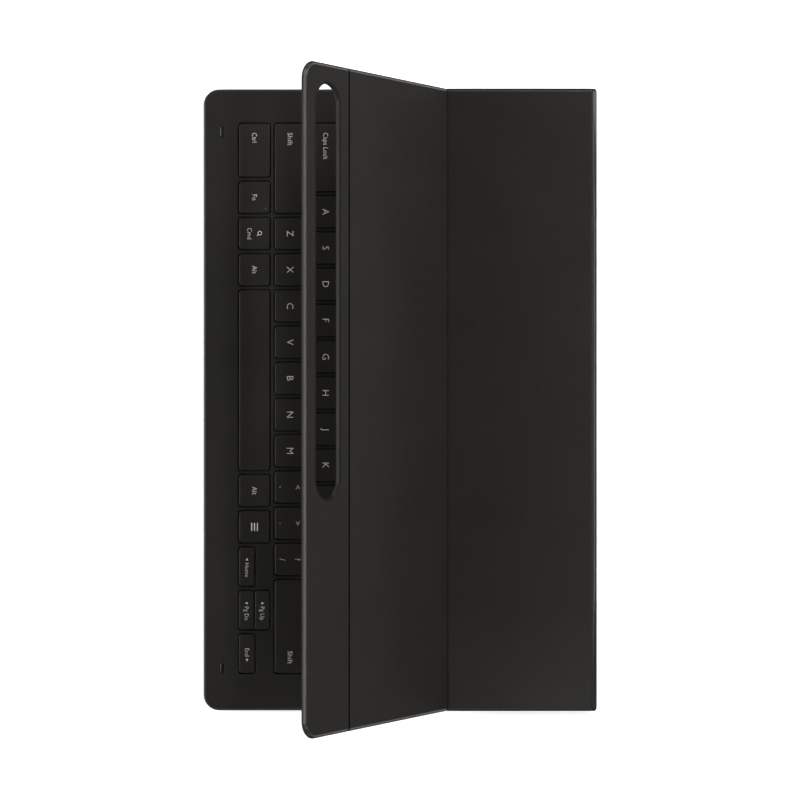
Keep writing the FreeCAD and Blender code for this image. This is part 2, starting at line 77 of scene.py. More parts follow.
# The caps stand this much higher than their solids
CAP_LIFT = 0.25
CAP_TOP += CAP_LIFT
COVER_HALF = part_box("lower_core")[1][0] / MM
COVER_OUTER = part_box("lower_skin")[1][2] / MM
COVER_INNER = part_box("lower_lining")[0][2] / MM
COVER_REAR = DECK_REAR
FRONT_CORNER = 8.2
REAR_CORNER = 2.0
FREE_CORNER = 9.5
COVER_FRONT = -102.11
CREASE_Y = 24.59
SEAM_Y = -65.01
FOLD_Z = 13.0
FOLD_ANGLE = 56.4
CREASE_HALF = 1.0
FOLD_GAP = 0.1
LINING_INSET = 0.8
SPINE_Y = 101.88
SPINE_HALF = 1.25
SPINE_REAR = SPINE_Y + SPINE_HALF
SPINE_FRONT = SPINE_Y - SPINE_HALF
SPINE_CORNER = 2.0
SPINE_ROUND = 0.78
SPINE_END_INSET = 1.2
BASE_AXIS_Z = 1.5
COVER_AXIS_Z = 12.25
SLOT_Y = -82.885
SLOT_WIDTH = 19.35
SLOT_LEFT = -152.8825
SLOT_RIGHT = 48.1175
SLOT_RIM = 0.8
# Radii of the rim's outer and inner edge
RIM_ROUNDS = (0.35, 0.6)
DOCK_Y = 23.99
DOCK_WIDTH = 7.0
DOCK_LENGTH = 286.0
DOCK_FLOOR = 4.4
BUMPER_X = 141.2075
BUMPER_Y = -93.53
BUMPER_LENGTH = 5.6
BUMPER_WIDTH = 1.8

# Key field: widths in key units, row by row from the front, with each key's body and legend. A legend that
# ends in < or > stands at that end of its key, and | parts the plain sign from the shifted one.
KEY_PITCH = 19.05
ROW_PITCH = 18.73
KEY_GAP = 2.6
KEY_DEPTH = 16.2
HALF_KEY_DEPTH = 8.3
SPLIT_DEPTH = 7.85
FIELD_LEFT = -145.2075
FIELD_FRONT = -84.36
FRONT_ROW = (
    ("key_ctrl", 1.6, "Ctrl<"), ("key_fn", 1.0, "Fn"), ("key_command", 1.0, "Cmd"),
    ("key_alt_left", 1.0, "Alt"), ("key_space", 5.1, ""), ("key_alt_right", 1.0, "Alt"),
    ("key_menu", 1.0, ""), ("key_arrow_left", 1.2, "Home"), ("key_arrow_split", 1.2, ""),
    ("key_arrow_right", 1.2, "End"),
)
SHIFT_ROW = (
    [("key_shift_left", 2.6, "Shift<")]
    + [("key_" + letter, 1.0, letter.upper()) for letter in "zxcvbnm"]
    + [("key_comma", 1.0, ",|<"), ("key_period", 1.0, ".|>"), ("key_slash", 1.0, "/|?")]
    + [("key_shift_right", 2.7, "Shift>")]
)
HOME_LEGENDS = ["Caps Lock<"] + list("ASDFGHJKL") + [";|:", "'|\"", "Enter>"]
LETTER_LEGENDS = ["Tab<"] + list("QWERTYUIOP") + ["[|{", "]|}", "\\|||"]
NUMBER_LEGENDS = [a + "|" + b for a, b in zip("`1234567890-=", "~!@#$%^&*()_+")] + ["Backspace>"]
FUNCTION_LEGENDS = ["Esc"] + ["F%d" % number for number in range(1, 13)] + ["Del"]
BACK_ROWS = (
    ("home_row_keys", [2.0] + 11 * [1.0] + [2.3], HOME_LEGENDS),
    ("letter_row_keys", [1.75] + 12 * [1.0] + [1.55], LETTER_LEGENDS),
    ("number_row_keys", [1.25] + 12 * [1.0] + [2.05], NUMBER_LEGENDS),
)
FUNCTION_UNITS = 15.3 / 14


def linear(code):
    """Turns an sRGB hex colour into linear red, green and blue."""
    parts = np.array([int(code[i : i + 2], 16) for i in (1, 3, 5)]) / 255
    curve = np.where(parts <= 0.04045, parts / 12.92, ((parts + 0.055) / 1.055) ** 2.4)
    return tuple(float(v) for v in curve)


# Settings


def length(name, description, millimetres):
    return bpy.props.FloatProperty(
        name=name, description=description, default=millimetres * MM, unit="LENGTH"
    )


def colour(name, description, code):
    return bpy.props.FloatVectorProperty(
        name=name, description=description, default=linear(code), size=3, subtype="COLOR", min=0.0, max=1.0
    )


class CaseSizes(bpy.types.PropertyGroup):
    """Sizes of the dressed pieces that a user would change"""

    key_corner: length("Key corner", "Corner radius of a key cap", 1.5)
    key_shoulder: length("Key shoulder", "Radius between a cap's top and its sides", 0.52)
    key_dish: length("Key dish", "Depth of the shallow dish in a cap's top", 0.07)
    key_clearance: length("Key clearance", "Gap between a cap and its opening in the deck", 0.65)
    opening_round: length("Opening round", "Edge radius round each key opening", 0.22)
    deck_round: length("Deck round", "Edge radius round the top of the deck", 0.9)
    panel_bevel: length("Panel bevel", "Width of the bevel round the cover's panels", 1.5)
    letter_height: length("Letter height", "Height of the single letters on the keys", 3.5)
    word_height: length("Word height", "Height of the capitals in the words on the keys", 2.6)
    ink_height: length("Ink height", "Thickness of the printed legends", 0.02)


class CaseColours(bpy.types.PropertyGroup):
    """Colours of the finishes"""

    skin: colour("Skin", "Synthetic leather of the cover, spine and underside", "#201f1d")
    # The groove colour is painted shade: the skin darkened where the seam's groove lies in shadow.
    groove: colour("Groove", "Pressed skin in the seam", "#0e0d0c")
    lining: colour("Lining", "Microfibre inside the cover", "#1d1c1b")
    deck: colour("Deck", "Matte plastic of the deck", "#171614")
    caps: colour("Key caps", "Matte plastic of the key caps", "#201f1d")
    legend: colour("Legends", "Ink of the key legends", "#acaba7")
    rubber: colour("Rubber", "Silicone of the bumpers and the dock's rail", "#080807")
    floor: colour("Floor", "Studio floor", "#f2f2f2")


# Mesh helpers

LEAST_CORNER = 0.3


def polar(radius, degrees):
    """Points at these radii and angles: radius * (cos a, sin a)."""
    angle = np.radians(degrees)
    return np.column_stack([radius * np.cos(angle), radius * np.sin(angle)])


def circle(radius, count):
    """Points evenly round a circle."""
    return polar(radius, np.arange(count) * 360 / count)


def rounded_loop(x0, x1, y0, y1, front, rear, steps):
    """A rectangle with round corners: at each corner centre + radius * (cos a, sin a) over a quarter turn,
    counter-clockwise from the right front corner, as an array of (x, y)."""
    corners = (
        (x1 - front, y0 + front, front), (x1 - rear, y1 - rear, rear),
        (x0 + rear, y1 - rear, rear), (x0 + front, y0 + front, front),
    )
    turns = [np.linspace(start, start + 90, steps + 1) for start in (-90, 0, 90, 180)]
    return np.concatenate([polar(r, turn) + (x, y) for (x, y, r), turn in zip(corners, turns)])


def stadium_loop(x0, x1, y, width, steps):
    """A slot along X: two half circles of half the width about its ends, counter-clockwise."""
    end = polar(width / 2, np.linspace(-90, 90, steps + 1))
    return np.concatenate([end + (x1 - width / 2, y), (x0 + width / 2, y) - end])


def inset_loop(box, inset, front, rear, steps):
    """The rounded rectangle of a box (x0, x1, y0, y1), made smaller by an inset with its corners."""
    x0, x1, y0, y1 = box
    front, rear = max(front - inset, LEAST_CORNER), max(rear - inset, LEAST_CORNER)
    return rounded_loop(x0 + inset, x1 - inset, y0 + inset, y1 - inset, front, rear, steps)


def quarter_round(radius, steps=3):
    """Points along a round edge, as (radius (1 - cos a), radius (1 - sin a)) over a quarter turn."""
    return (radius - polar(radius, np.linspace(0, 90, steps + 1))).tolist()


def middle_of(box):
    """The middle (x, y) of a box (x0, x1, y0, y1)."""
    return np.reshape(box, (2, 2)).mean(axis=1)


def at_height(loop, z):
    """Lifts a flat loop to one height."""
    return np.column_stack([loop, np.full(len(loop), z)])


def ring_quads(count, size):
    """Quads between successive closed rings: (k, n) joins (k, n + 1), (k + 1, n + 1) and (k + 1, n)."""
    k = np.arange(count - 1)[:, None] * size
    n = np.arange(size)[None, :]
    m = (n + 1) % size
    return np.stack([k + n, k + m, k + size + m, k + size + n], axis=-1).reshape(-1, 4).tolist()


def flat_fill(loops, flip=False):
    """Triangles of a flat face with holes: a constrained triangulation of its loops, less those whose middle
    lies inside a hole. Loops are arrays of (x, y), the outline first, and the indices run through them."""
    points = np.concatenate(loops)
    starts = np.cumsum([0] + [len(loop) for loop in loops])
    spans = [np.arange(len(loop)) for loop in loops]
    edges = np.concatenate([np.stack([n, (n + 1) % len(n)], axis=1) + k for n, k in zip(spans, starts)])
    result = delaunay_2d_cdt([tuple(p) for p in points.tolist()], edges.tolist(), [], 1, 1e-7)
    back = [ids[0] for ids in result[3]]
    faces = np.array([[back[i] for i in face] for face in result[2]])
    middle = points[faces].mean(axis=1)
    keep = np.ones(len(faces), bool)
    for hole in loops[1:]:
        keep &= ~inside_loop(middle, hole)
    faces = faces[keep]
    corner = points[faces]
    a = corner[:, 1] - corner[:, 0]
    b = corner[:, 2] - corner[:, 0]
    turned = (a[:, 0] * b[:, 1] - a[:, 1] * b[:, 0] < 0) != flip
    faces[turned] = faces[turned][:, ::-1]
    return faces


def inside_loop(points, loop):
    """Which points lie inside a loop: an odd number of its edges crosses the ray along +X from the point."""
    x, y = points[:, 0:1], points[:, 1:2]
    a, b = loop, np.roll(loop, -1, axis=0)
    spans = (a[None, :, 1] > y) != (b[None, :, 1] > y)
    slope = np.where(b[:, 1] == a[:, 1], 1.0, b[:, 1] - a[:, 1])
    cross = a[None, :, 0] + (y - a[None, :, 1]) * (b[:, 0] - a[:, 0])[None, :] / slope[None, :]
    return (spans & (cross > x)).sum(axis=1) % 2 == 1


class Shell:
    """Gathers vertices in millimetres and faces of one piece."""

    def __init__(self):
        self.points = []
        self.faces = []
        self.count = 0

    def add(self, points, faces):
        first = self.count
        self.points.append(np.asarray(points, float).reshape(-1, 3))
        self.faces.extend([[i + first for i in face] for face in faces])
        self.count += len(self.points[-1])
        return first

    def rings(self, loops):
        """A closed skin over successive rings from low to high, each end closed by one flat face."""
        size = len(loops[0])
        last = (len(loops) - 1) * size
        ends = [list(range(size))[::-1], list(range(last, last + size))]
        self.add(np.concatenate(loops), ring_quads(len(loops), size) + ends)

    def piece(self, name, slot, finish=None, sharp=40.0, move=None):
        """Makes the object, in metres and at the origin, smooth up to the sharp angle. It has its slot's
        finish, or the one that is named."""
        points = np.concatenate(self.points)
        if move is not None:
            points = move(points)
        mesh = bpy.data.meshes.new(name)
        mesh.from_pydata((points * MM).tolist(), [], self.faces)
        mesh.validate()
        mesh.polygons.foreach_set("use_smooth", np.ones(len(mesh.polygons), bool))
        mesh.set_sharp_from_angle(angle=math.radians(sharp))
        mesh.materials.append(finishes()[finish or slot])
        mesh.update()
        obj = bpy.data.objects.new(name, mesh)
        bpy.context.scene.collection.objects.link(obj)
        return obj


def folded(points):
    """Turns points of the flat cover up about the crease: y' = dy cos + dz sin, z' = dz cos - dy sin."""
    cos, sin = polar(1.0, [FOLD_ANGLE])[0]
    axis = (CREASE_Y, FOLD_Z)
    return np.column_stack([points[:, 0], (points[:, 1:] - axis) @ [[cos, -sin], [sin, cos]] + axis])


# Materials


def cleared(data):
    """Turns on the nodes of a material or world and empties its tree."""
    data.use_nodes = True
    data.node_tree.nodes.clear()
    return data.node_tree


def add_node(tree, kind, inputs=(), **settings):
    """Adds a node with its settings; each input is a value or the socket that feeds it."""
    node = tree.nodes.new(kind)
    for key, value in settings.items():
        setattr(node, key, value)
    for key, value in dict(inputs).items():
        if isinstance(value, bpy.types.NodeSocket):
            tree.links.new(value, node.inputs[key])
        else:
            node.inputs[key].default_value = value
    return node


def tone(base, factor):
    """A linear colour made lighter or darker by one factor, with alpha."""
    return tuple(min(1.0, v * factor) for v in base[:3]) + (1.0,)


def per_size(millimetres):
    """Texture scale whose cells are this wide on object coordinates in metres."""
    return 1.0 / (millimetres * MM)


def map_range(tree, value, source, target, **settings):
    """Carries a value from one range to another."""
    inputs = {"Value": value, "From Min": source[0], "From Max": source[1]}
    inputs.update({"To Min": target[0], "To Max": target[1]})
    return add_node(tree, "ShaderNodeMapRange", inputs, **settings).outputs[0]


COAT_ROUGHNESS = 0.22
COAT_IOR = 4.0
# Size of the cloudy changes of colour, and how far the roughness changes with them
CLOUD_MM = 40.0
ROUGH_SPREAD = 0.06
# Range of clouds and grain together
MIXED_RANGE = (0.6, 1.4)


def surface(name, base, rough, grain_mm, bump, spread=0.12, specular=0.5, metallic=0.0, pattern="noise",
            sheen=0.0, coat=0.0):
    """One procedural finish: cloudy colour at CLOUD_MM, grain at grain_mm in colour, roughness and bump."""
    material = bpy.data.materials.new(name)
    tree = cleared(material)
    place = add_node(tree, "ShaderNodeTexCoord").outputs["Object"]
    clouds = {"Vector": place, "Scale": per_size(CLOUD_MM), "Detail": 3.0}
    clouds = add_node(tree, "ShaderNodeTexNoise", clouds).outputs["Fac"]
    grain = {"Vector": place, "Scale": per_size(grain_mm)}
    if pattern == "cells":
        grain["Randomness"] = 0.9
        grain = add_node(tree, "ShaderNodeTexVoronoi", grain, feature="SMOOTH_F1").outputs["Distance"]
    else:
        grain.update({"Detail": 4.0, "Roughness": 0.6})
        grain = add_node(tree, "ShaderNodeTexNoise", grain).outputs["Fac"]
    mixed = add_node(tree, "ShaderNodeMath", {0: clouds, 1: grain}, operation="ADD").outputs[0]
    shade = map_range(tree, mixed, MIXED_RANGE, (0.0, 1.0))
    tint = add_node(
        tree, "ShaderNodeMix",
        {"Factor": shade, "A": tone(base, 1 - spread), "B": tone(base, 1 + spread)}, data_type="RGBA",
    )
    gloss = map_range(tree, mixed, MIXED_RANGE, (rough - ROUGH_SPREAD, rough + ROUGH_SPREAD))
    relief = add_node(
        tree, "ShaderNodeBump", {"Height": grain, "Strength": bump, "Distance": grain_mm * MM * 0.25}
    ).outputs[0]
    shader = add_node(
        tree, "ShaderNodeBsdfPrincipled",
        {"Base Color": tint.outputs["Result"], "Roughness": gloss, "Normal": relief, "Metallic": metallic,
         "Specular IOR Level": specular, "Sheen Weight": sheen, "Sheen Roughness": 0.4, "Coat Weight": coat,
         "Coat Roughness": COAT_ROUGHNESS, "Coat IOR": COAT_IOR},
    )
    add_node(tree, "ShaderNodeOutputMaterial", {"Surface": shader.outputs[0]})
    return material


def finishes():
    """All materials of the object, made once and kept by slot name."""
    if FINISHES:
        return FINISHES
    c = bpy.context.scene.case_colours
    FINISHES.update({
        # Polyurethane skin on a woven back, embossed with a fine pebble grain: dark, satin, small broken
        # glints. The pebbles are drawn 0.9 mm wide, coarser than the real ones, so that they show.
        "synthetic_leather": surface(
            "pu_synthetic_leather", c.skin, 0.5, 0.9, 0.08, pattern="cells", specular=0.0, coat=0.01
        ),
        # The same skin drawn tight over the bevels and burnished there: a brighter line along the edges.
        "edge_skin": surface(
            "burnished_synthetic_leather", c.skin, 0.4, 0.9, 0.04, pattern="cells", specular=0.1, coat=0.028
        ),
        # The same skin pressed into the seam, smoother, and darker: painted shade for the groove's shadow.
        "seam_shade_skin": surface("seam_shade_synthetic_leather", c.groove, 0.7, 0.6, 0.05, specular=0.02),
        # Painted shade on the skin's side edges: a dark line under the bevel, where shade falls.
        "side_edge_shade": surface("painted_side_edge_shade", linear("#0b0a09"), 0.65, 0.6, 0.05, specular=0.04),
        # Brushed polyester microfibre: no gloss, a soft nap that lightens at grazing angles.
        "microfibre": surface(
            "brushed_microfibre", c.lining, 0.92, 0.7, 0.5, spread=0.25, specular=0.15, sheen=0.12
        ),
        # Moulded glass-filled polycarbonate with a spark-eroded texture: even, matte.
        "deck_plastic": surface("textured_polycarbonate", c.deck, 0.45, 0.6, 0.1, specular=0.1),
        # Moulded ABS caps with a finer spark-eroded texture than the deck.
        "key_plastic": surface("moulded_abs", c.caps, 0.42, 0.5, 0.08, specular=0.02),
        # Edges of the deck and the caps, where handling has worn the texture smooth: they catch the light.
        "deck_edge": surface("worn_polycarbonate", c.deck, 0.38, 0.6, 0.03, specular=0.35),
        "key_edge": surface("worn_abs", c.caps, 0.38, 0.5, 0.03, specular=0.2),
        # Pad-printed grey ink, slightly uneven.
        "legend_ink": surface("pad_printed_ink", c.legend, 0.6, 0.4, 0.05, spread=0.06, specular=0.3),
        # Clear light guide over an unlit indicator.
        "light_guide": surface("acrylic_light_guide", linear("#3f3e3c"), 0.25, 0.5, 0.02, spread=0.05),
        # Stiff moulded sheet inside the panels, satin.
        "panel_polycarbonate": surface(
            "moulded_polycarbonate", linear("#0f0e0d"), 0.45, 0.6, 0.08, specular=0.1
        ),
        # Moulded silicone: dull, a little dusty.
        "silicone_rubber": surface("moulded_silicone", c.rubber, 0.32, 0.6, 0.05, specular=0.18),
        # Nickel-plated neodymium bars.
        "magnet_steel": surface("nickel_plate", linear("#a9a7a2"), 0.3, 0.5, 0.03, metallic=1.0),
        # Rolled aluminium sheet, black anodised under the keys.
        "aluminium_sheet": surface(
            "black_anodised_aluminium", linear("#141414"), 0.45, 0.5, 0.05, metallic=0.3
        ),
        # Carbon-black polyester film of the membrane and the ribbon.
        "polyester_film": surface("black_polyester_film", linear("#101010"), 0.35, 1.0, 0.03),
        # Glossy moulded liquid-crystal polymer of the contact block.
        "connector_plastic": surface("moulded_lcp", linear("#151515"), 0.35, 0.5, 0.05),
        # Gold over brass, burnished by use.
        "gold_plated_brass": surface("gold_plated_brass", linear("#d9b45c"), 0.25, 0.3, 0.03, metallic=1.0),
        # Glass-fibre board under dark green solder mask.
        "circuit_board": surface("solder_mask_board", linear("#12402a"), 0.35, 0.8, 0.05),
    })
    return FINISHES


FINISHES = {}


def band_finish(obj, finish, size, bands, columns=None):
    """Gives the bands between two rings a finish of their own, all round or in these columns only. A band has
    this many faces."""
    obj.data.materials.append(finishes()[finish])
    index = np.zeros(len(obj.data.polygons), np.int32)
    obj.data.polygons.foreach_get("material_index", index)
    columns = np.arange(size) if columns is None else np.array(columns)
    rows = np.arange(*bands)[:, None] * size
    index[(rows + columns).ravel()] = len(obj.data.materials) - 1
    obj.data.polygons.foreach_set("material_index", index)


def wear_edges(obj, finish):
    """Gives the faces that lean between upright and level their smoother finish."""
    normals = np.zeros(len(obj.data.polygons) * 3)
    obj.data.polygons.foreach_get("normal", normals)
    rise = normals[2::3]
    obj.data.materials.append(finishes()[finish])
    obj.data.polygons.foreach_set("material_index", ((rise > 0.1) & (rise < 0.97)).astype(np.int32))


# Deck


def all_keys():
    """Every key as (body, (x0, x1, y0, y1), legend), row by row from the front."""
    keys = []

    def lay(row, y, depth):
        x = FIELD_LEFT
        for body, units, legend in row:
            x1 = x + units * KEY_PITCH - KEY_GAP
            if body == "key_arrow_split":
                keys.append(("key_arrow_down", (x, x1, y, y + SPLIT_DEPTH), "Pg Dn"))
                keys.append(("key_arrow_up", (x, x1, y + depth - SPLIT_DEPTH, y + depth), "Pg Up"))
            elif body in ("key_arrow_left", "key_arrow_right"):
                keys.append((body, (x, x1, y, y + HALF_KEY_DEPTH), legend))
            else:
                keys.append((body, (x, x1, y, y + depth), legend))
            x = x1 + KEY_GAP

    lay(FRONT_ROW, FIELD_FRONT, KEY_DEPTH)
    lay(SHIFT_ROW, FIELD_FRONT + ROW_PITCH, KEY_DEPTH)
    for number, (body, units, legends) in enumerate(BACK_ROWS, start=2):
        lay([(body, u, t) for u, t in zip(units, legends)], FIELD_FRONT + number * ROW_PITCH, KEY_DEPTH)
    function_row = [("function_row_keys", FUNCTION_UNITS, text) for text in FUNCTION_LEGENDS]
    lay(function_row, FIELD_FRONT + 5 * ROW_PITCH, HALF_KEY_DEPTH)
    return keys


# Steps in each corner of the deck's outline, and the bands of its outer wall that round its rim
DECK_STEPS = 10
RIM_BANDS = (2, 6)
FRAME_CHAMFER = 0.18
BUMPER_GAP = 0.2
# Widths of the flat bands beside the rim, the openings and the pockets
RIM_MARGIN = 0.4
OPENING_MARGIN = 0.35
POCKET_MARGIN = 0.3


def opening_boxes(keys, clearance):
    """The deck's openings as (x0, x1, y0, y1); the two split arrows share one."""
    boxes = []
    for body, (x0, x1, y0, y1), legend in keys:
        if body == "key_arrow_up":
            continue
        if body == "key_arrow_down":
            y1 = y0 + KEY_DEPTH
        boxes.append((x0 - clearance, x1 + clearance, y0 - clearance, y1 + clearance))
    return boxes


class CASE_OT_deck_frame(bpy.types.Operator):
    """Makes the top of the deck: a plate with a rounded rim and a soft-edged opening round every key"""

    bl_idname = "case.deck_frame"
    bl_label = "Deck top"

    def execute(self, context):
        s = context.scene.case_sizes
        edge = s.opening_round / MM
        rim = s.deck_round / MM
        clearance = s.key_clearance / MM
        corner = s.key_corner / MM + clearance
        shell = Shell()
        tops, floors = [], []

        def wall(profile, loop_at, top, floor):
            """Carries a profile of (offset, z) round a loop that widens by the offset, and keeps its rings
            at the top and the floor for the flat faces. Without a floor ring, the last ring closes it."""
            loops = [at_height(loop_at(offset), z) for offset, z in profile]
            size = len(loops[0])
            rings = np.arange(len(loops) * size).reshape(-1, size)
            rings += shell.add(np.concatenate(loops), ring_quads(len(loops), size))
            tops.append((loops[top][:, :2], rings[top]))
            if floor is None:
                shell.faces.append(rings[-1].tolist())
            else:
                floors.append((loops[floor][:, :2], rings[floor]))

        outer = [(-FRAME_CHAMFER, FRAME_BOTTOM), (0.0, FRAME_BOTTOM + FRAME_CHAMFER), (0.0, DECK_TOP - rim)]
        outer += [(-u, DECK_TOP - v) for u, v in quarter_round(rim)[1:]] + [(-rim - RIM_MARGIN, DECK_TOP)]
        wall(outer, lambda o: inset_loop(DECK_BOX, -o, FRONT_CORNER, REAR_CORNER, DECK_STEPS), -1, 0)
        soft = [(v, DECK_TOP - u) for u, v in quarter_round(edge)]
        hole = [(edge + OPENING_MARGIN, DECK_TOP)] + soft + [(0.0, FRAME_BOTTOM)]
        for box in opening_boxes(all_keys(), clearance):
            wall(hole, lambda o: inset_loop(box, -o, corner, corner, 5), 0, -1)
        trough = [(edge + POCKET_MARGIN, DECK_TOP)] + soft + [(0.0, DOCK_FLOOR)]
        pockets = [(0.0, DOCK_Y, DOCK_LENGTH, DOCK_WIDTH)]
        for x in (-BUMPER_X, BUMPER_X):
            pockets.append((x, BUMPER_Y, BUMPER_LENGTH + 2 * BUMPER_GAP, BUMPER_WIDTH + 2 * BUMPER_GAP))
        for x, y, long, wide in pockets:
            x0, x1 = x - long / 2, x + long / 2
            wall(trough, lambda o: stadium_loop(x0 - o, x1 + o, y, wide + 2 * o, 14), 0, None)
        for flats, under in ((tops, False), (floors, True)):
            index = np.concatenate([ring for loop, ring in flats])
            shell.faces.extend(index[flat_fill([loop for loop, ring in flats], flip=under)].tolist())
        obj = shell.piece("deck_top", "deck_plastic", sharp=50)
        band_finish(obj, "deck_edge", 4 * (DECK_STEPS + 1), RIM_BANDS)
        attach(obj, "deck")
        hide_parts("top_frame")
        return {"FINISHED"}


class CASE_OT_deck_skin(bpy.types.Operator):
    """Makes the skin under the deck, rounded at its lower edge"""

    bl_idname = "case.deck_skin"
    bl_label = "Underside skin"

    def execute(self, context):
        profile = [(4.0, 0.0), (0.5, 0.0), (0.15, 0.07), (0.02, 0.22), (0.0, 0.42), (1.0, 0.42)]
        shell = Shell()
        shell.rings([
            at_height(inset_loop(DECK_BOX, i, FRONT_CORNER, REAR_CORNER, DECK_STEPS), z) for i, z in profile
        ])
        obj = shell.piece("deck_base_skin", "synthetic_leather")
        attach(obj, "deck")
        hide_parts("bottom_skin")
        return {"FINISHED"}


class CASE_OT_bumpers(bpy.types.Operator):
    """Makes the two silicone bumpers near the deck's front corners, whose ridge lies near their front side"""

    bl_idname = "case.bumpers"
    bl_label = "Bumpers"

    def execute(self, context):
        def roof(y):
            """Height over the deck: a front slope up to the ridge and a rear slope down into the pocket."""
            return np.minimum(0.51 * (y + 0.9), 0.33 - 0.505 * (y + 0.25))

        shell = Shell()
        for x in (-BUMPER_X, BUMPER_X):
            loops = []
            for front, rear, trim in ((-0.9, 0.9, 0.0), (-0.25, 0.86, 0.35), (-0.2, 0.3, 0.6)):
                x0, x1 = x - BUMPER_LENGTH / 2 + trim, x + BUMPER_LENGTH / 2 - trim
                loop = stadium_loop(x0, x1, BUMPER_Y + (front + rear) / 2, rear - front, 8)
                loops.append(np.column_stack([loop, DECK_TOP + roof(loop[:, 1] - BUMPER_Y)]))
            shell.rings([at_height(loops[0][:, :2], DOCK_FLOOR)] + loops)
        obj = shell.piece("bumper_pads", "silicone_rubber")
        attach(obj, "deck")
        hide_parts("front_bumpers")
        return {"FINISHED"}


# Keys

CAP_DRAFT = 0.05
# Sizes of the rings over the dish, as shares of the cap's top
DISH_SHARES = (0.93, 0.8, 0.55, 0.25)
# The bars on the F and J keys: half length, width, place behind the key's front, and path of (inset, height)
HOME_BAR = (1.8, 0.7, 3.0)
HOME_BAR_PATH = ((0.0, -0.3), (0.0, -0.02), (0.1, 0.1), (0.25, 0.13))
# The domes' radius at each share of their height
DOME_PATH = ((2.5, 0.0), (2.45, 0.12), (2.1, 0.4), (1.6, 0.72), (1.4, 0.86), (1.35, 1.0))


def cap_height(x, y, box, dish):
    """Height of a cap's dished top: CAP_TOP less dish * (1 - u^2)(1 - v^2), u and v -1 to 1 over the key."""
    x0, x1, y0, y1 = box
    u = (2 * x - x0 - x1) / (x1 - x0)
    v = (2 * y - y0 - y1) / (y1 - y0)
    return CAP_TOP - dish * (1 - np.clip(u * u, 0, 1)) * (1 - np.clip(v * v, 0, 1))


def add_cap(shell, box, corner, shoulder, dish):
    """One cap: a drafted side from the bottom, a quarter-round shoulder, rings that shrink over the dish."""
    profile = [(0.12, CAP_BOTTOM), (0.0, CAP_BOTTOM + 0.15), (CAP_DRAFT, CAP_TOP - shoulder)]
    profile += [(CAP_DRAFT + u, CAP_TOP - v) for u, v in quarter_round(shoulder, 4)[1:]]
    profile += [(CAP_DRAFT + shoulder + 0.25, CAP_TOP)]
    loops = [at_height(inset_loop(box, i, corner, corner, 5), z) for i, z in profile]
    edge = loops[-1][:, :2]
    middle = middle_of(box)
    for share in DISH_SHARES:
        flat = middle + (edge - middle) * share
        loops.append(np.column_stack([flat, cap_height(flat[:, 0], flat[:, 1], box, dish)]))
    shell.rings(loops)


class CASE_OT_key_caps(bpy.types.Operator):
    """Makes every key cap, one piece for each key body"""

    bl_idname = "case.key_caps"
    bl_label = "Key caps"

    def execute(self, context):
        s = context.scene.case_sizes
        shells = {}
        for body, box, legend in all_keys():
            shell = shells.setdefault(body, Shell())
            add_cap(shell, box, s.key_corner / MM, s.key_shoulder / MM, s.key_dish / MM)
            if body == "home_row_keys" and legend in ("F", "J"):
                half, width, setback = HOME_BAR
                x0, x1 = middle_of(box)[0] + (-half, half)
                shell.rings([
                    at_height(stadium_loop(x0 + i, x1 - i, box[2] + setback, width - 2 * i, 5), CAP_TOP + z)
                    for i, z in HOME_BAR_PATH
                ])
        for body, shell in shells.items():
            obj = shell.piece(body + "_cap", "key_plastic")
            wear_edges(obj, "key_edge")
            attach(obj, body)
            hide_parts(body)
        return {"FINISHED"}


class CASE_OT_return_domes(bpy.types.Operator):
    """Makes the rubber domes under the caps, in their raised shape; the real domes flatten when their key
    goes down
    """

    bl_idname = "case.return_domes"
    bl_label = "Return domes"

    def execute(self, context):
        low, high = [corner[2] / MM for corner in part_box("return_domes")]
        shells = {}
        for body, box, legend in all_keys():
            shells.setdefault(body, Shell()).rings([
                at_height(circle(r, 16) + middle_of(box), low + (high - low) * k) for r, k in DOME_PATH
            ])
        for body, shell in shells.items():
            obj = shell.piece(body + "_dome", "silicone_rubber")
            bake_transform(obj)
            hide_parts("return_domes")
        return {"FINISHED"}


# Legends


def text_shape(text, height):
    """Vertices in millimetres and faces of a flat text whose capitals are this high, its left end at zero."""
    curve = bpy.data.curves.new("legend", "FONT")
    curve.body = text
    curve.size = 1.0
    curve.resolution_u = 2
    curve.offset = -0.012
    holder = bpy.data.objects.new("legend", curve)
    bpy.context.scene.collection.objects.link(holder)
    bpy.context.view_layer.update()
    mesh = bpy.data.meshes.new_from_object(holder.evaluated_get(bpy.context.evaluated_depsgraph_get()))
    points = np.zeros(len(mesh.vertices) * 3)
    mesh.vertices.foreach_get("co", points)
    faces = [list(p.vertices) for p in mesh.polygons]
    bpy.data.objects.remove(holder)
    bpy.data.curves.remove(curve)
    bpy.data.meshes.remove(mesh)
    points = points.reshape(-1, 3) * height / CAPITAL_SHARE
    return points[:, :2] * (WORD_WIDTHS.get(text, 0.94 if len(text) > 1 else 1.0), 1.0), faces


# Height of a capital of the built-in font at size 1
CAPITAL_SHARE = 0.69
# Words whose letters are set wider or narrower than the others
WORD_WIDTHS = {"Shift": 1.04, "Ctrl": 0.87, "Caps Lock": 0.885, "Cmd": 0.9}
# Places of the legends on a key
LEGEND_MARGIN = 4.8
SIGN_OFFSET = 4.0
ARROW_GAP = 1.9
ARROW_SIZE = 0.85
# Heights of the smaller legends, as shares of the words' or letters' height
LENS_WORD = 0.92
ARROW_WORD = 0.86
SIGN_SHARE = 0.85
# Indicator dots, from the key's rear right corner
LAMP_INSET = 2.3
LAMP_RADIUS = 0.42
# Quarter turns of the arrowheads
ARROW_TURNS = {"key_arrow_right": 0, "key_arrow_up": 1, "key_arrow_left": 2, "key_arrow_down": 3}


def triangle_mark(x, y, size, turn):
    """A small arrowhead: three points about its middle, turned by a number of quarter turns."""
    return polar(size, np.array([0, 130, 230]) + 90 * turn) + (x, y), [[0, 1, 2]]


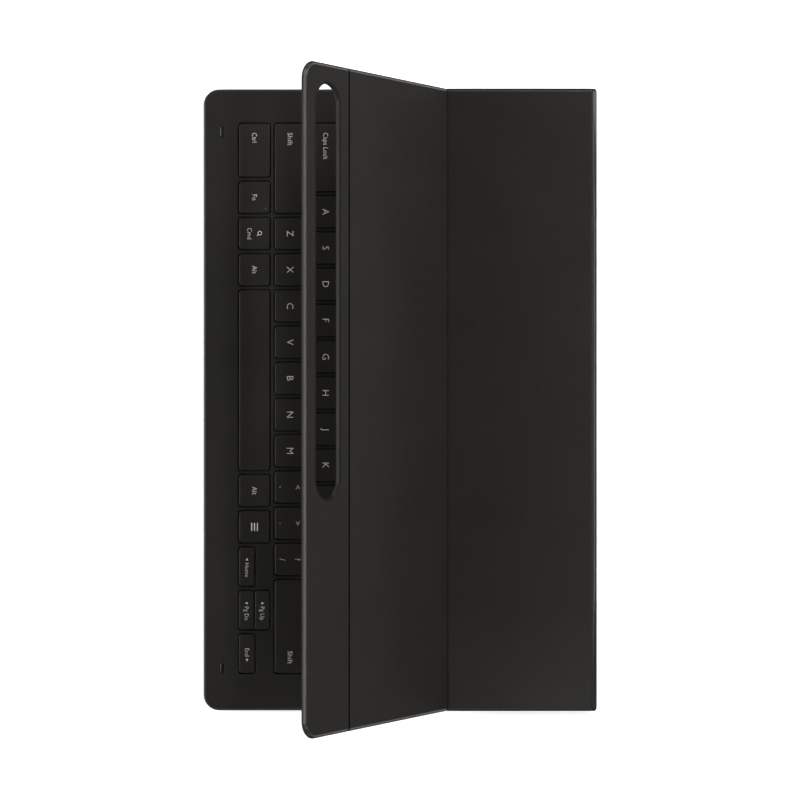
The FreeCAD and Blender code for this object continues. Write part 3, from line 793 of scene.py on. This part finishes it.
def ring_mark(x, y, radius, width):
    """A flat ring: two circles of 20 points joined by quads."""
    points = np.concatenate([circle(radius + width / 2, 20), circle(radius - width / 2, 20)]) + (x, y)
    return points, ring_quads(2, 20)


def bar_mark(x0, y0, x1, y1, width):
    """A straight stroke: a rectangle of this width along the line between two points."""
    along = np.array([x1 - x0, y1 - y0])
    side = np.array([-along[1], along[0]]) / np.hypot(*along) * width / 2
    ends = np.array([[x0, y0], [x1, y1]])
    return np.array([ends[0] - side, ends[1] - side, ends[1] + side, ends[0] + side]), [[0, 1, 2, 3]]


def dot_mark(x, y, radius):
    """A round dot of 14 points."""
    return circle(radius, 14) + (x, y), [list(range(14))]


def placed_text(text, height, x, y, align):
    """A text with its capitals centred on y and its left end, middle or right end at x."""
    points, faces = text_shape(text, height)
    low, high = points[:, 0].min(), points[:, 0].max()
    shift = {"left": x - low, "middle": x - (low + high) / 2, "right": x - high}[align]
    return points + (shift, y - height / 2), faces


def legend_marks(body, box, legend, letter, word):
    """The flat shapes of one key's legend: text from its code, and drawn marks on the sign keys."""
    x, y = middle_of(box)
    if body == "key_menu":
        return [bar_mark(x - 2.1, y + d, x + 2.1, y + d, 0.55) for d in (-1.5, 0.0, 1.5)]
    if body == "key_command":
        lens = [ring_mark(x - 0.2, y + 2.75, 1.0, 0.3), bar_mark(x + 0.5, y + 2.05, x + 1.3, y + 1.25, 0.32)]
        return lens + [placed_text(legend, word * LENS_WORD, x, y - 2.6, "middle")]
    if body in ARROW_TURNS:
        right = body == "key_arrow_right"
        words = placed_text(legend, word * ARROW_WORD, x - 0.7 if right else x + 1.7, y, "middle")
        reach = words[0][:, 0]
        tip = reach.max() + ARROW_GAP if right else reach.min() - ARROW_GAP
        return [triangle_mark(tip, y, ARROW_SIZE, ARROW_TURNS[body]), words]
    if "|" in legend and len(legend) > 1:
        plain, shifted = legend[0], legend[2:3] or legend[1]
        pair = ((plain, y - SIGN_OFFSET), (shifted, y + SIGN_OFFSET))
        return [placed_text(sign, letter * SIGN_SHARE, x, place, "middle") for sign, place in pair]
    if legend.endswith("<") and len(legend) > 1:
        return [placed_text(legend[:-1], word, box[0] + LEGEND_MARGIN, y, "left")]
    if legend.endswith(">") and len(legend) > 1:
        return [placed_text(legend[:-1], word, box[1] - LEGEND_MARGIN, y, "right")]
    if len(legend) == 1:
        return [placed_text(legend, letter, x, y, "middle")]
    return [placed_text(legend, word, x, y, "middle")] if legend else []


class CASE_OT_legends(bpy.types.Operator):
    """Prints the legends on the caps, and sets the indicator dots into two of them"""

    bl_idname = "case.legends"
    bl_label = "Key legends"

    def execute(self, context):
        s = context.scene.case_sizes
        ink = s.ink_height / MM
        dish = s.key_dish / MM
        shells, lamps = {}, {}
        for body, box, legend in all_keys():
            marks = legend_marks(body, box, legend, s.letter_height / MM, s.word_height / MM)
            marks = [(shells, mark) for mark in marks]
            if legend in ("Fn", "Caps Lock<"):
                marks.append((lamps, dot_mark(box[1] - LAMP_INSET, box[3] - LAMP_INSET, LAMP_RADIUS)))
            for group, (flat, faces) in marks:
                height = cap_height(flat[:, 0], flat[:, 1], box, dish) + ink
                group.setdefault(body, Shell()).add(np.column_stack([flat, height]), faces)
        for group, ending, finish in ((shells, "_legend", "legend_ink"), (lamps, "_lamp", "light_guide")):
            for body, shell in group.items():
                obj = shell.piece(body + ending, "key_plastic", finish)
                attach(obj, body)
        return {"FINISHED"}


# Cover

SKIN_PROUD = 0.04
PANEL_CORNER = 0.25
# Width of the bevel in the edge path
PATH_BEVEL = 1.5
# The skin's path round a free edge: inset and height over the inner face, from the hem to the top
EDGE_PATH = (
    (3.2, 0.28), (0.5, 0.28), (0.14, 0.36), (0.0, 0.56), (0.0, 0.86), (0.04, 0.99), (0.19, 1.19),
    (0.95, 1.965), (1.31, 2.31), (1.47, 2.44), (1.66, 2.5), (1.95, 2.5),
)
# The bands between these rings that form the bevel, and the lower ones that get painted shade along the sides
BEVEL_BANDS = (5, 10)
SIDE_SHADE_BANDS = (3, 7)
# The columns of the rings along the two sides and the ends of their corners
SIDE_COLUMNS = (8, 9, 10, 11, 12, 38, 39, 40, 41, 42)
# The same rings where the panel meets a fold line
FOLD_PATH = (3.3, 0.6, 0.14, 0.1, 0.1, 0.1, 0.1, 0.42, 0.66, 0.9, 1.0, 1.3)
# The same rings where the panel meets the seam, whose groove is deep and narrow
SEAM_PATH = (3.3, 0.9, 0.64, 0.6, 0.6, 0.6, 0.6, 0.6, 0.6, 0.64, 0.74, 1.0)
# The same rings where the panel meets the spine
REAR_PATH = (3.2, 0.5, 0.05, 0.0, 0.0, 0.0, 0.0, 0.0, 0.0, 0.04, 0.16, 0.5)


def panel_loops(y0, y1, front, rear, front_radius, bevel):
    """Rings of a panel's skin from hem to top: a rounded rectangle whose sides follow the edge path, and
    whose front and rear follow the paths given."""
    loops = []
    for k, (inset, height) in enumerate(EDGE_PATH):
        side = inset if inset < 0.1 else inset * bevel / PATH_BEVEL
        half = COVER_HALF - side + (SKIN_PROUD if inset < 1.0 else 0.0)
        lift = SKIN_PROUD if height > 2.0 else 0.0
        radius = max(front_radius - side, PANEL_CORNER)
        loop = rounded_loop(-half, half, y0 + front[k], y1 - rear[k], radius, PANEL_CORNER, 12)
        loops.append(at_height(loop, COVER_INNER + height + lift))
    return loops


def slot_loop(offset, steps=20):
    return stadium_loop(SLOT_LEFT - offset, SLOT_RIGHT + offset, SLOT_Y, SLOT_WIDTH + 2 * offset, steps)


def with_slot(shell, loops, wall):
    """Closes a panel's rings at both ends with flat faces that leave the slot open, and walls the slot."""
    size = len(loops[0])
    first = shell.add(np.concatenate(loops), ring_quads(len(loops), size))
    holes = [at_height(slot_loop(o), z) for o, z in wall]
    around = len(holes[0])
    second = shell.add(np.concatenate(holes), ring_quads(len(holes), around))
    for loop, hole, low in ((loops[-1], holes[0], False), (loops[0], holes[-1], True)):
        a = first if low else first + (len(loops) - 1) * size
        b = second + (len(holes) - 1) * around if low else second
        index = np.concatenate([np.arange(size) + a, np.arange(around) + b])
        faces = flat_fill([loop[:, :2], hole[:, :2]], flip=low)
        shell.faces.extend(index[faces].tolist())


def cover_layer(layer, slot, panels, wall, nodes):
    """Makes one layer of the cover from the rings of its three panels, with the slot's wall in the strip."""
    pieces = []
    for (name, body, stem), loops in zip(PANELS, panels):
        shell = Shell()
        if body == "pen_strip":
            with_slot(shell, loops, wall)
        else:
            shell.rings(loops)
        move = None if body == "lower_cover" else folded
        obj = shell.piece(name + "_" + layer, slot, move=move)
        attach(obj, body)
        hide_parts(*[stem + "_" + node for node in nodes])
        pieces.append(obj)
    return pieces


# Name, body and stem of the nodes' names of each panel
PANELS = (
    ("lower_panel", "lower_cover", "lower"),
    ("upper_panel", "upper_cover", "upper"),
    ("pen_strip", "pen_strip", "strip"),
)


class CASE_OT_cover_skins(bpy.types.Operator):
    """Wraps the three cover panels in skin, turned over their edges to a hem under the lining"""

    bl_idname = "case.cover_skins"
    bl_label = "Cover skins"

    def execute(self, context):
        bevel = context.scene.case_sizes.panel_bevel / MM
        free = [i * bevel / PATH_BEVEL - (SKIN_PROUD if i < 1.0 else 0.0) for i, height in EDGE_PATH]
        top = COVER_OUTER + SKIN_PROUD
        wall = [(1.3, top), (1.0, top), (0.86, top - 0.06), (0.82, top - 0.2), (0.82, COVER_INNER + 0.28)]
        panels = (
            panel_loops(CREASE_Y, COVER_REAR, FOLD_PATH, REAR_PATH, PANEL_CORNER, bevel),
            panel_loops(SEAM_Y, CREASE_Y, SEAM_PATH, FOLD_PATH, PANEL_CORNER, bevel),
            panel_loops(COVER_FRONT, SEAM_Y, free, SEAM_PATH, FREE_CORNER, bevel),
        )
        size = len(panels[0][0])
        for obj in cover_layer("skin", "synthetic_leather", panels, wall, ("skin", "core")):
            band_finish(obj, "edge_skin", size, BEVEL_BANDS)
            # The lower bands along the sides get a dark colour: painted shade under the bevel.
            band_finish(obj, "side_edge_shade", size, SIDE_SHADE_BANDS, SIDE_COLUMNS)
        return {"FINISHED"}


def lining_loops(y0, y1, radius):
    """Rings of a lining from its soft lower edge up: a rounded rectangle that widens by a quarter round."""
    path = ((1.2, 0.0), (0.3, 0.0), (0.1, 0.05), (0.0, 0.18), (0.0, 0.3))
    box = (LINING_INSET - COVER_HALF, COVER_HALF - LINING_INSET, y0, y1)
    return [at_height(inset_loop(box, i, radius, LEAST_CORNER, 12), COVER_INNER + z) for i, z in path]


class CASE_OT_cover_linings(bpy.types.Operator):
    """Lays the microfibre linings inside the three cover panels"""

    bl_idname = "case.cover_linings"
    bl_label = "Cover linings"

    def execute(self, context):
        panels = (
            lining_loops(CREASE_Y + FOLD_GAP, COVER_REAR - LINING_INSET, LEAST_CORNER),
            lining_loops(SEAM_Y + FOLD_GAP, CREASE_Y - FOLD_GAP, LEAST_CORNER),
            lining_loops(COVER_FRONT + LINING_INSET, SEAM_Y - FOLD_GAP, FREE_CORNER - LINING_INSET),
        )
        wall = [(o, COVER_INNER + z) for o, z in ((0.85, 0.3), (0.85, 0.18), (0.95, 0.05), (1.15, 0.0))]
        cover_layer("lining", "microfibre", panels, wall, ("lining",))
        return {"FINISHED"}


class CASE_OT_slot_rim(bpy.types.Operator):
    """Makes the moulded rim that lines the pen slot"""

    bl_idname = "case.slot_rim"
    bl_label = "Slot rim"

    def execute(self, context):
        top = COVER_OUTER - 0.03
        low = COVER_INNER + 0.02
        path = [(SLOT_RIM, low), (SLOT_RIM, top - 0.75), (0.5, top - 0.65), (0.5, top)]
        path += [(v, top - u) for u, v in quarter_round(RIM_ROUNDS[0])]
        path += [(u, low + v) for u, v in quarter_round(RIM_ROUNDS[1])]
        loops = [at_height(slot_loop(o, 24), z) for o, z in path]
        size = len(loops[0])
        faces = np.array(ring_quads(len(loops) + 1, size)) % (len(loops) * size)
        shell = Shell()
        shell.add(np.concatenate(loops), faces.tolist())
        obj = shell.piece("slot_rim_moulding", "panel_polycarbonate", move=folded)
        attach(obj, "pen_strip")
        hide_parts("slot_rim")
        return {"FINISHED"}


# Folds and spine

# Shares of the half length at which a bar has a ring
BAR_STATIONS = (-1.0, -0.6, -0.2, 0.2, 0.6, 1.0)
# Distance of the crease's valley from its axis, and depth and half turn of the round at its bottom
VALLEY = 0.42
VALLEY_ROUND = 0.08
VALLEY_TURN = 0.18
# The skin inside the crease: distance from the axis, bow towards it, and the angles at its ends when flat
INNER_RADIUS = 2.0
INNER_BOW = 0.28
INNER_ENDS = (267.1, 272.9)
# Skins round the spine's edges: thickness along Y and Z, lap on the spine's back, rise of the upper one
EDGE_SKIN = (0.2, 0.25)
EDGE_PROUD = 0.015
EDGE_LAP = 0.35
REAR_RISE = 1.27
# Half length and depth of the pleats
PLEAT_HALF = COVER_HALF - 1.6
# Sections of the pleats, as (y, z) from the spine's front face and the fold's axis
REAR_PLEAT = ((-0.05, 0.0), (-0.09, -0.6), (-0.11, -1.22), (-0.07, -1.22), (-0.04, -0.62), (-0.01, 0.0))
BASE_PLEAT = ((-0.02, 0.0), (-0.05, 0.62), (-0.08, 1.22), (-0.12, 1.22), (-0.09, 0.6), (-0.06, 0.0))


def bar_piece(name, slot, section, ends, finish=None, move=None):
    """A closed bar along X: the (y, z) section at each point's half length, quads between, ends closed."""
    ends = np.full(len(section), ends)
    shell = Shell()
    shell.rings([np.column_stack([ends * share, section]) for share in BAR_STATIONS])
    return shell.piece(name, slot, finish, sharp=60, move=move)


def bevelled_ends(z):
    """Half length at each height, following the panels' side bevel up to the outer face."""
    return COVER_HALF - np.clip(z - (COVER_OUTER - PATH_BEVEL), 0, PATH_BEVEL)


def corner_inset(section):
    """How far each section point lies inside the round corner at the spine's end: r - sqrt(r^2 - d^2), d from
    the corner's centre."""
    d = np.clip(section[:, 0] - (SPINE_REAR - SPINE_CORNER), 0, SPINE_CORNER)
    return SPINE_CORNER - np.sqrt(SPINE_CORNER**2 - d**2)


def edge_section(bow, rise, axis, lap):
    """Skin round an edge of the spine: a bow as deep as the spine and with this rise from the axis, a lap on
    the spine's back, and the inner bow."""
    size = np.array([2 * SPINE_HALF, rise])
    tail = [[SPINE_REAR + EDGE_PROUD, axis[1] + lap], [SPINE_REAR - EDGE_SKIN[0], axis[1] + lap]]
    return np.concatenate([bow * size + axis, tail, bow[::-1] * (size - EDGE_SKIN) + axis])


class CASE_OT_folds(bpy.types.Operator):
    """Bends skin and lining across the crease, the seam and the spine's two edges"""

    bl_idname = "case.folds"
    bl_label = "Folds"

    def crease(self):
        """Section in polar form about the crease axis at rest: radius and angle of each point, the outer
        valley from the lower panel's edge to the upper panel's, and the inner skin back."""
        rise = COVER_OUTER - FOLD_Z
        edge = math.hypot(CREASE_HALF, rise)
        low = math.degrees(math.atan2(rise, CREASE_HALF))
        high = 180 - low - FOLD_ANGLE
        share = np.linspace(0, 1, 13)
        turn = low + (high - low) * share
        # Straight run from each face's edge to the valley, with a small round at the bottom
        half_turn = np.radians(np.abs(turn - (low + high) / 2))
        reach = math.radians((high - low) / 2)
        spread = VALLEY * np.sin(half_turn) + edge * np.sin(np.maximum(reach - half_turn, 0))
        radius = VALLEY * edge * math.sin(reach) / spread
        radius -= VALLEY_ROUND * np.exp(-((half_turn / VALLEY_TURN) ** 2))
        bow = INNER_RADIUS - INNER_BOW * np.sin(np.linspace(0, math.pi, 9))
        inner = polar(bow, np.linspace(INNER_ENDS[0] - FOLD_ANGLE, INNER_ENDS[1], 9))
        section = np.concatenate([polar(radius, turn), [[-0.014, 0.11]], inner, [[0.1, 0.05]]])
        section += (CREASE_Y, FOLD_Z)
        # Heights that the points have in the flat cover
        flat = FOLD_Z + radius * np.sin(np.radians(np.abs(90 - np.abs(share - 0.5) * 2 * (90 - low))))
        edges = [FOLD_Z + 0.05]
        ends = bevelled_ends(np.concatenate([flat, edges, np.full(9, FOLD_Z - INNER_RADIUS), edges]))
        obj = bar_piece("crease_fold_skin", "synthetic_leather", section, ends)
        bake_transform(obj)
        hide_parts("crease_welt")

    def seam(self):
        """Section in the flat cover: a narrow U-shaped groove between the panels, then the lining's gap."""
        groove = [(0.66, 0.36), (0.6, 0.36), (0.58, 0.3), (0.56, -0.8), (0.3, -1.0), (0.0, -1.02)]
        groove += [(-u, v) for u, v in groove[-2::-1]]
        inner = [(-0.1, -1.98), (0.0, -1.93), (0.1, -1.98)]
        section = np.array(groove + inner) + (SEAM_Y, FOLD_Z)
        ends = bevelled_ends(section[:, 1])
        # The seam's skin takes the darker finish: painted shade for the groove's shadow.
        obj = bar_piece("seam_fold_skin", "synthetic_leather", section, ends, "seam_shade_skin", folded)
        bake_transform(obj)
        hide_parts("seam_welt")

    def rear(self):
        """Outer skin over the spine's upper edge: a quarter of a superellipse of power 4 from the panel's
        face to the spine's back, and inside it the pleat in one fixed shape; the real pleat opens with the
        cover."""
        axis = np.array([SPINE_FRONT, COVER_AXIS_Z])
        bow = polar(1.0, np.linspace(90, 0, 14)).clip(0, 1) ** 0.5
        lead = [[SPINE_FRONT - 0.08, COVER_OUTER - 0.1]]
        section = np.concatenate([lead, edge_section(bow, REAR_RISE, axis, -EDGE_LAP)])[::-1]
        ends = bevelled_ends(section[:, 1]) - corner_inset(section)
        obj = bar_piece("rear_fold_skin", "synthetic_leather", section, ends, "edge_skin")
        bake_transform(obj)
        obj = bar_piece("rear_fold_lining", "microfibre", REAR_PLEAT + axis, PLEAT_HALF)
        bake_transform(obj)

    def base(self):
        """Outer skin under the spine's lower edge: a quarter ellipse from the deck's underside to the spine's
        back, and the pleat in front of it."""
        axis = np.array([SPINE_FRONT, BASE_AXIS_Z])
        bow = polar(1.0, np.linspace(-90, 0, 10))
        lead, foot = [[DECK_REAR - 0.3, 0.0]], [[DECK_REAR - 0.3, EDGE_SKIN[1]]]
        section = np.concatenate([lead, edge_section(bow, BASE_AXIS_Z, axis, EDGE_LAP), foot])
        ends = COVER_HALF - np.maximum(corner_inset(section), 1.4)
        obj = bar_piece("base_fold_skin", "synthetic_leather", section, ends)
        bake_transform(obj)
        obj = bar_piece("base_fold_lining", "microfibre", BASE_PLEAT + axis, PLEAT_HALF)
        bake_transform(obj)

    def execute(self, context):
        self.crease()
        self.seam()
        self.rear()
        self.base()
        return {"FINISHED"}


class CASE_OT_spine(bpy.types.Operator):
    """Wraps the spine in skin, with rounded edges along both folds and rounded ends"""

    bl_idname = "case.spine"
    bl_label = "Spine skin"

    def execute(self, context):
        bow = polar(1.0, np.linspace(0, 180, 13)) * (SPINE_HALF, SPINE_ROUND)
        section = np.concatenate([bow + (SPINE_Y, COVER_AXIS_Z), (SPINE_Y, BASE_AXIS_Z) - bow])
        side = section - (SPINE_Y, (COVER_AXIS_Z + BASE_AXIS_Z) / 2)
        # The rear side and the edges draw in towards the ends, and the front side stays straight
        moves = (side[:, :1] > 0) | (0, 1)
        rings = []
        for out, up in polar(1.0, np.linspace(0, 90, 7)):
            inset = np.minimum(np.abs(side), SPINE_END_INSET * (1 - up))
            rings.append((section - np.sign(side) * inset * moves, COVER_HALF - SPINE_CORNER * (1 - out)))
        loops = [np.column_stack([np.full(len(p), -x), p]) for p, x in rings]
        loops += [np.column_stack([np.full(len(p), x), p]) for p, x in rings[::-1]]
        shell = Shell()
        shell.rings(loops)
        obj = shell.piece("spine_wrap", "synthetic_leather", sharp=50)
        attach(obj, "spine")
        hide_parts("spine_skin", "spine_core")
        return {"FINISHED"}


class CASE_OT_solid_finishes(bpy.types.Operator):
    """Gives every solid that stays in view the finish of its material slot"""

    bl_idname = "case.solid_finishes"
    bl_label = "Finishes of the solids"

    def execute(self, context):
        made = finishes()
        for part in frame["record"]["subparts"]:
            mesh = frame["nodes"][part["node"]].data
            mesh.materials.clear()
            mesh.materials.append(made[part["material_slot"]])
        return {"FINISHED"}


# Stage

WHITE = (1, 1, 1, 1)
FLOOR_REACH = 6000.0
FLOOR_HEIGHT = -0.3
# Distances from the case in metres between which the floor's glow grows, and its strengths there
FLOOR_FADE = (0.4, 1.8)
FLOOR_GLOW = (0.33, 1.0)
# Heights in the sky between which it darkens, and its strengths there
SKY_RISE = (0.1, 0.45)
SKY_LIGHT = (1.0, 0.1)
# Name, place, target and size in metres, and watts
LAMPS = (
    ("softbox_left", (-0.65, 0.35, 0.7), (0, 0, 0), (0.44, 0.44), 5.2),
    ("softbox_right", (0.73, 0.4, 0.71), (0.16, 0, 0.08), (0.22, 0.22), 1.0),
    ("softbox_front", (-0.05, -0.9, 0.62), (0, 0, 0), (0.6, 0.6), 12.0),
    ("softbox_rear", (-0.7, 0.8, 0.32), (0, 0, 0.05), (0.6, 0.4), 5.9),
    ("softbox_top", (0.5, 0.2, 1.6), (0.1, 0.05, 0), (0.25, 0.25), 2.0),
    ("strip_rear", (0.04, 0.5, 1.6), (0.04, 0, 0.05), (1.5, 0.16), 13.2),
)
CAMERA_LENS = 104.0
CAMERA_PLACE = (0.0001, 0.00025, 1.2209)


class CASE_OT_stage(bpy.types.Operator):
    """Sets up the pale floor, the soft studio light and the camera over the case"""

    bl_idname = "case.stage"
    bl_label = "Studio"

    def floor(self, base):
        """A large flat square under the case, pale, that shows white to the camera and keeps the shadow. Its
        glow grows with the distance from the case, where the lamps don't reach."""
        shell = Shell()
        square = np.array([[-1.0, -1.0], [1.0, -1.0], [1.0, 1.0], [-1.0, 1.0]]) * FLOOR_REACH
        shell.add(at_height(square, FLOOR_HEIGHT), [[0, 1, 2, 3]])
        material = bpy.data.materials.new("studio_floor")
        tree = cleared(material)
        path = add_node(tree, "ShaderNodeLightPath")
        matte = add_node(tree, "ShaderNodeBsdfDiffuse", {"Color": tuple(base) + (1.0,)})
        place = add_node(tree, "ShaderNodeTexCoord").outputs["Object"]
        reach = add_node(tree, "ShaderNodeVectorMath", {0: place}, operation="LENGTH").outputs["Value"]
        strength = map_range(tree, reach, FLOOR_FADE, FLOOR_GLOW)
        glow = add_node(tree, "ShaderNodeEmission", {"Color": WHITE, "Strength": strength})
        both = add_node(tree, "ShaderNodeAddShader", {0: matte.outputs[0], 1: glow.outputs[0]})
        share = path.outputs["Is Camera Ray"]
        for kind in ("Is Glossy Ray", "Is Transmission Ray"):
            rays = {0: share, 1: path.outputs[kind]}
            share = add_node(tree, "ShaderNodeMath", rays, operation="ADD", use_clamp=True).outputs[0]
        seen = add_node(tree, "ShaderNodeMixShader", {0: share, 1: matte.outputs[0], 2: both.outputs[0]})
        add_node(tree, "ShaderNodeOutputMaterial", {"Surface": seen.outputs[0]})
        finishes()["studio_floor"] = material
        shell.piece("studio_floor", None, "studio_floor")

    def world(self):
        """White round the horizon and a darker ceiling, so that flat dark faces don't mirror white."""
        world = bpy.data.worlds.new("studio")
        bpy.context.scene.world = world
        tree = cleared(world)
        place = add_node(tree, "ShaderNodeTexCoord").outputs["Generated"]
        height = add_node(tree, "ShaderNodeSeparateXYZ", {0: place}).outputs["Z"]
        shade = map_range(tree, height, SKY_RISE, SKY_LIGHT, interpolation_type="SMOOTHSTEP")
        light = add_node(tree, "ShaderNodeBackground", {"Color": WHITE, "Strength": shade})
        add_node(tree, "ShaderNodeOutputWorld", {"Surface": light.outputs[0]})

    def lamp(self, name, place, target, size, watts):
        """A rectangular softbox that looks at a point, in metres."""
        data = bpy.data.lights.new(name, "AREA")
        data.shape = "RECTANGLE"
        data.size, data.size_y = size
        data.energy = watts
        obj = bpy.data.objects.new(name, data)
        bpy.context.scene.collection.objects.link(obj)
        obj.location = place
        direction = np.array(target) - np.array(place)
        direction = direction / np.linalg.norm(direction)
        tilt = math.acos(-direction[2])
        obj.rotation_euler = (tilt, 0.0, math.atan2(direction[1], direction[0]) - math.pi / 2)

    def execute(self, context):
        self.floor(context.scene.case_colours.floor)
        self.world()
        for lamp in LAMPS:
            self.lamp(*lamp)
        camera = bpy.data.cameras.new("camera")
        camera.lens = CAMERA_LENS
        camera.sensor_width = 36.0
        obj = bpy.data.objects.new("camera", camera)
        context.scene.collection.objects.link(obj)
        obj.location = CAMERA_PLACE
        obj.rotation_euler = (0.0, 0.0, math.pi / 2)
        context.scene.camera = obj
        context.scene.view_settings.view_transform = "Standard"
        return {"FINISHED"}


class CASE_PT_panel(bpy.types.Panel):
    """Lists the case's sizes, colours and steps"""

    bl_idname = "CASE_PT_panel"
    bl_label = "Keyboard case"
    bl_space_type = "VIEW_3D"
    bl_region_type = "UI"
    bl_category = "Keyboard case"

    def draw(self, context):
        for group in (context.scene.case_sizes, context.scene.case_colours):
            box = self.layout.box()
            for name in group.__annotations__:
                box.prop(group, name)
        for step in STEPS:
            self.layout.operator(step.bl_idname)


STEPS = (
    CASE_OT_solid_finishes, CASE_OT_deck_frame, CASE_OT_deck_skin, CASE_OT_bumpers, CASE_OT_key_caps,
    CASE_OT_return_domes, CASE_OT_legends, CASE_OT_cover_skins, CASE_OT_cover_linings, CASE_OT_slot_rim,
    CASE_OT_folds, CASE_OT_spine, CASE_OT_stage,
)
CLASSES = (CaseSizes, CaseColours) + STEPS + (CASE_PT_panel,)


def register():
    for cls in CLASSES:
        bpy.utils.register_class(cls)
    bpy.types.Scene.case_sizes = bpy.props.PointerProperty(type=CaseSizes)
    bpy.types.Scene.case_colours = bpy.props.PointerProperty(type=CaseColours)


def unregister():
    del bpy.types.Scene.case_colours
    del bpy.types.Scene.case_sizes
    for cls in reversed(CLASSES):
        bpy.utils.unregister_class(cls)


def main():
    register()
    for step in STEPS:
        group, name = step.bl_idname.split(".")
        getattr(getattr(bpy.ops, group), name)()


if __name__ == "__main__":
    main()
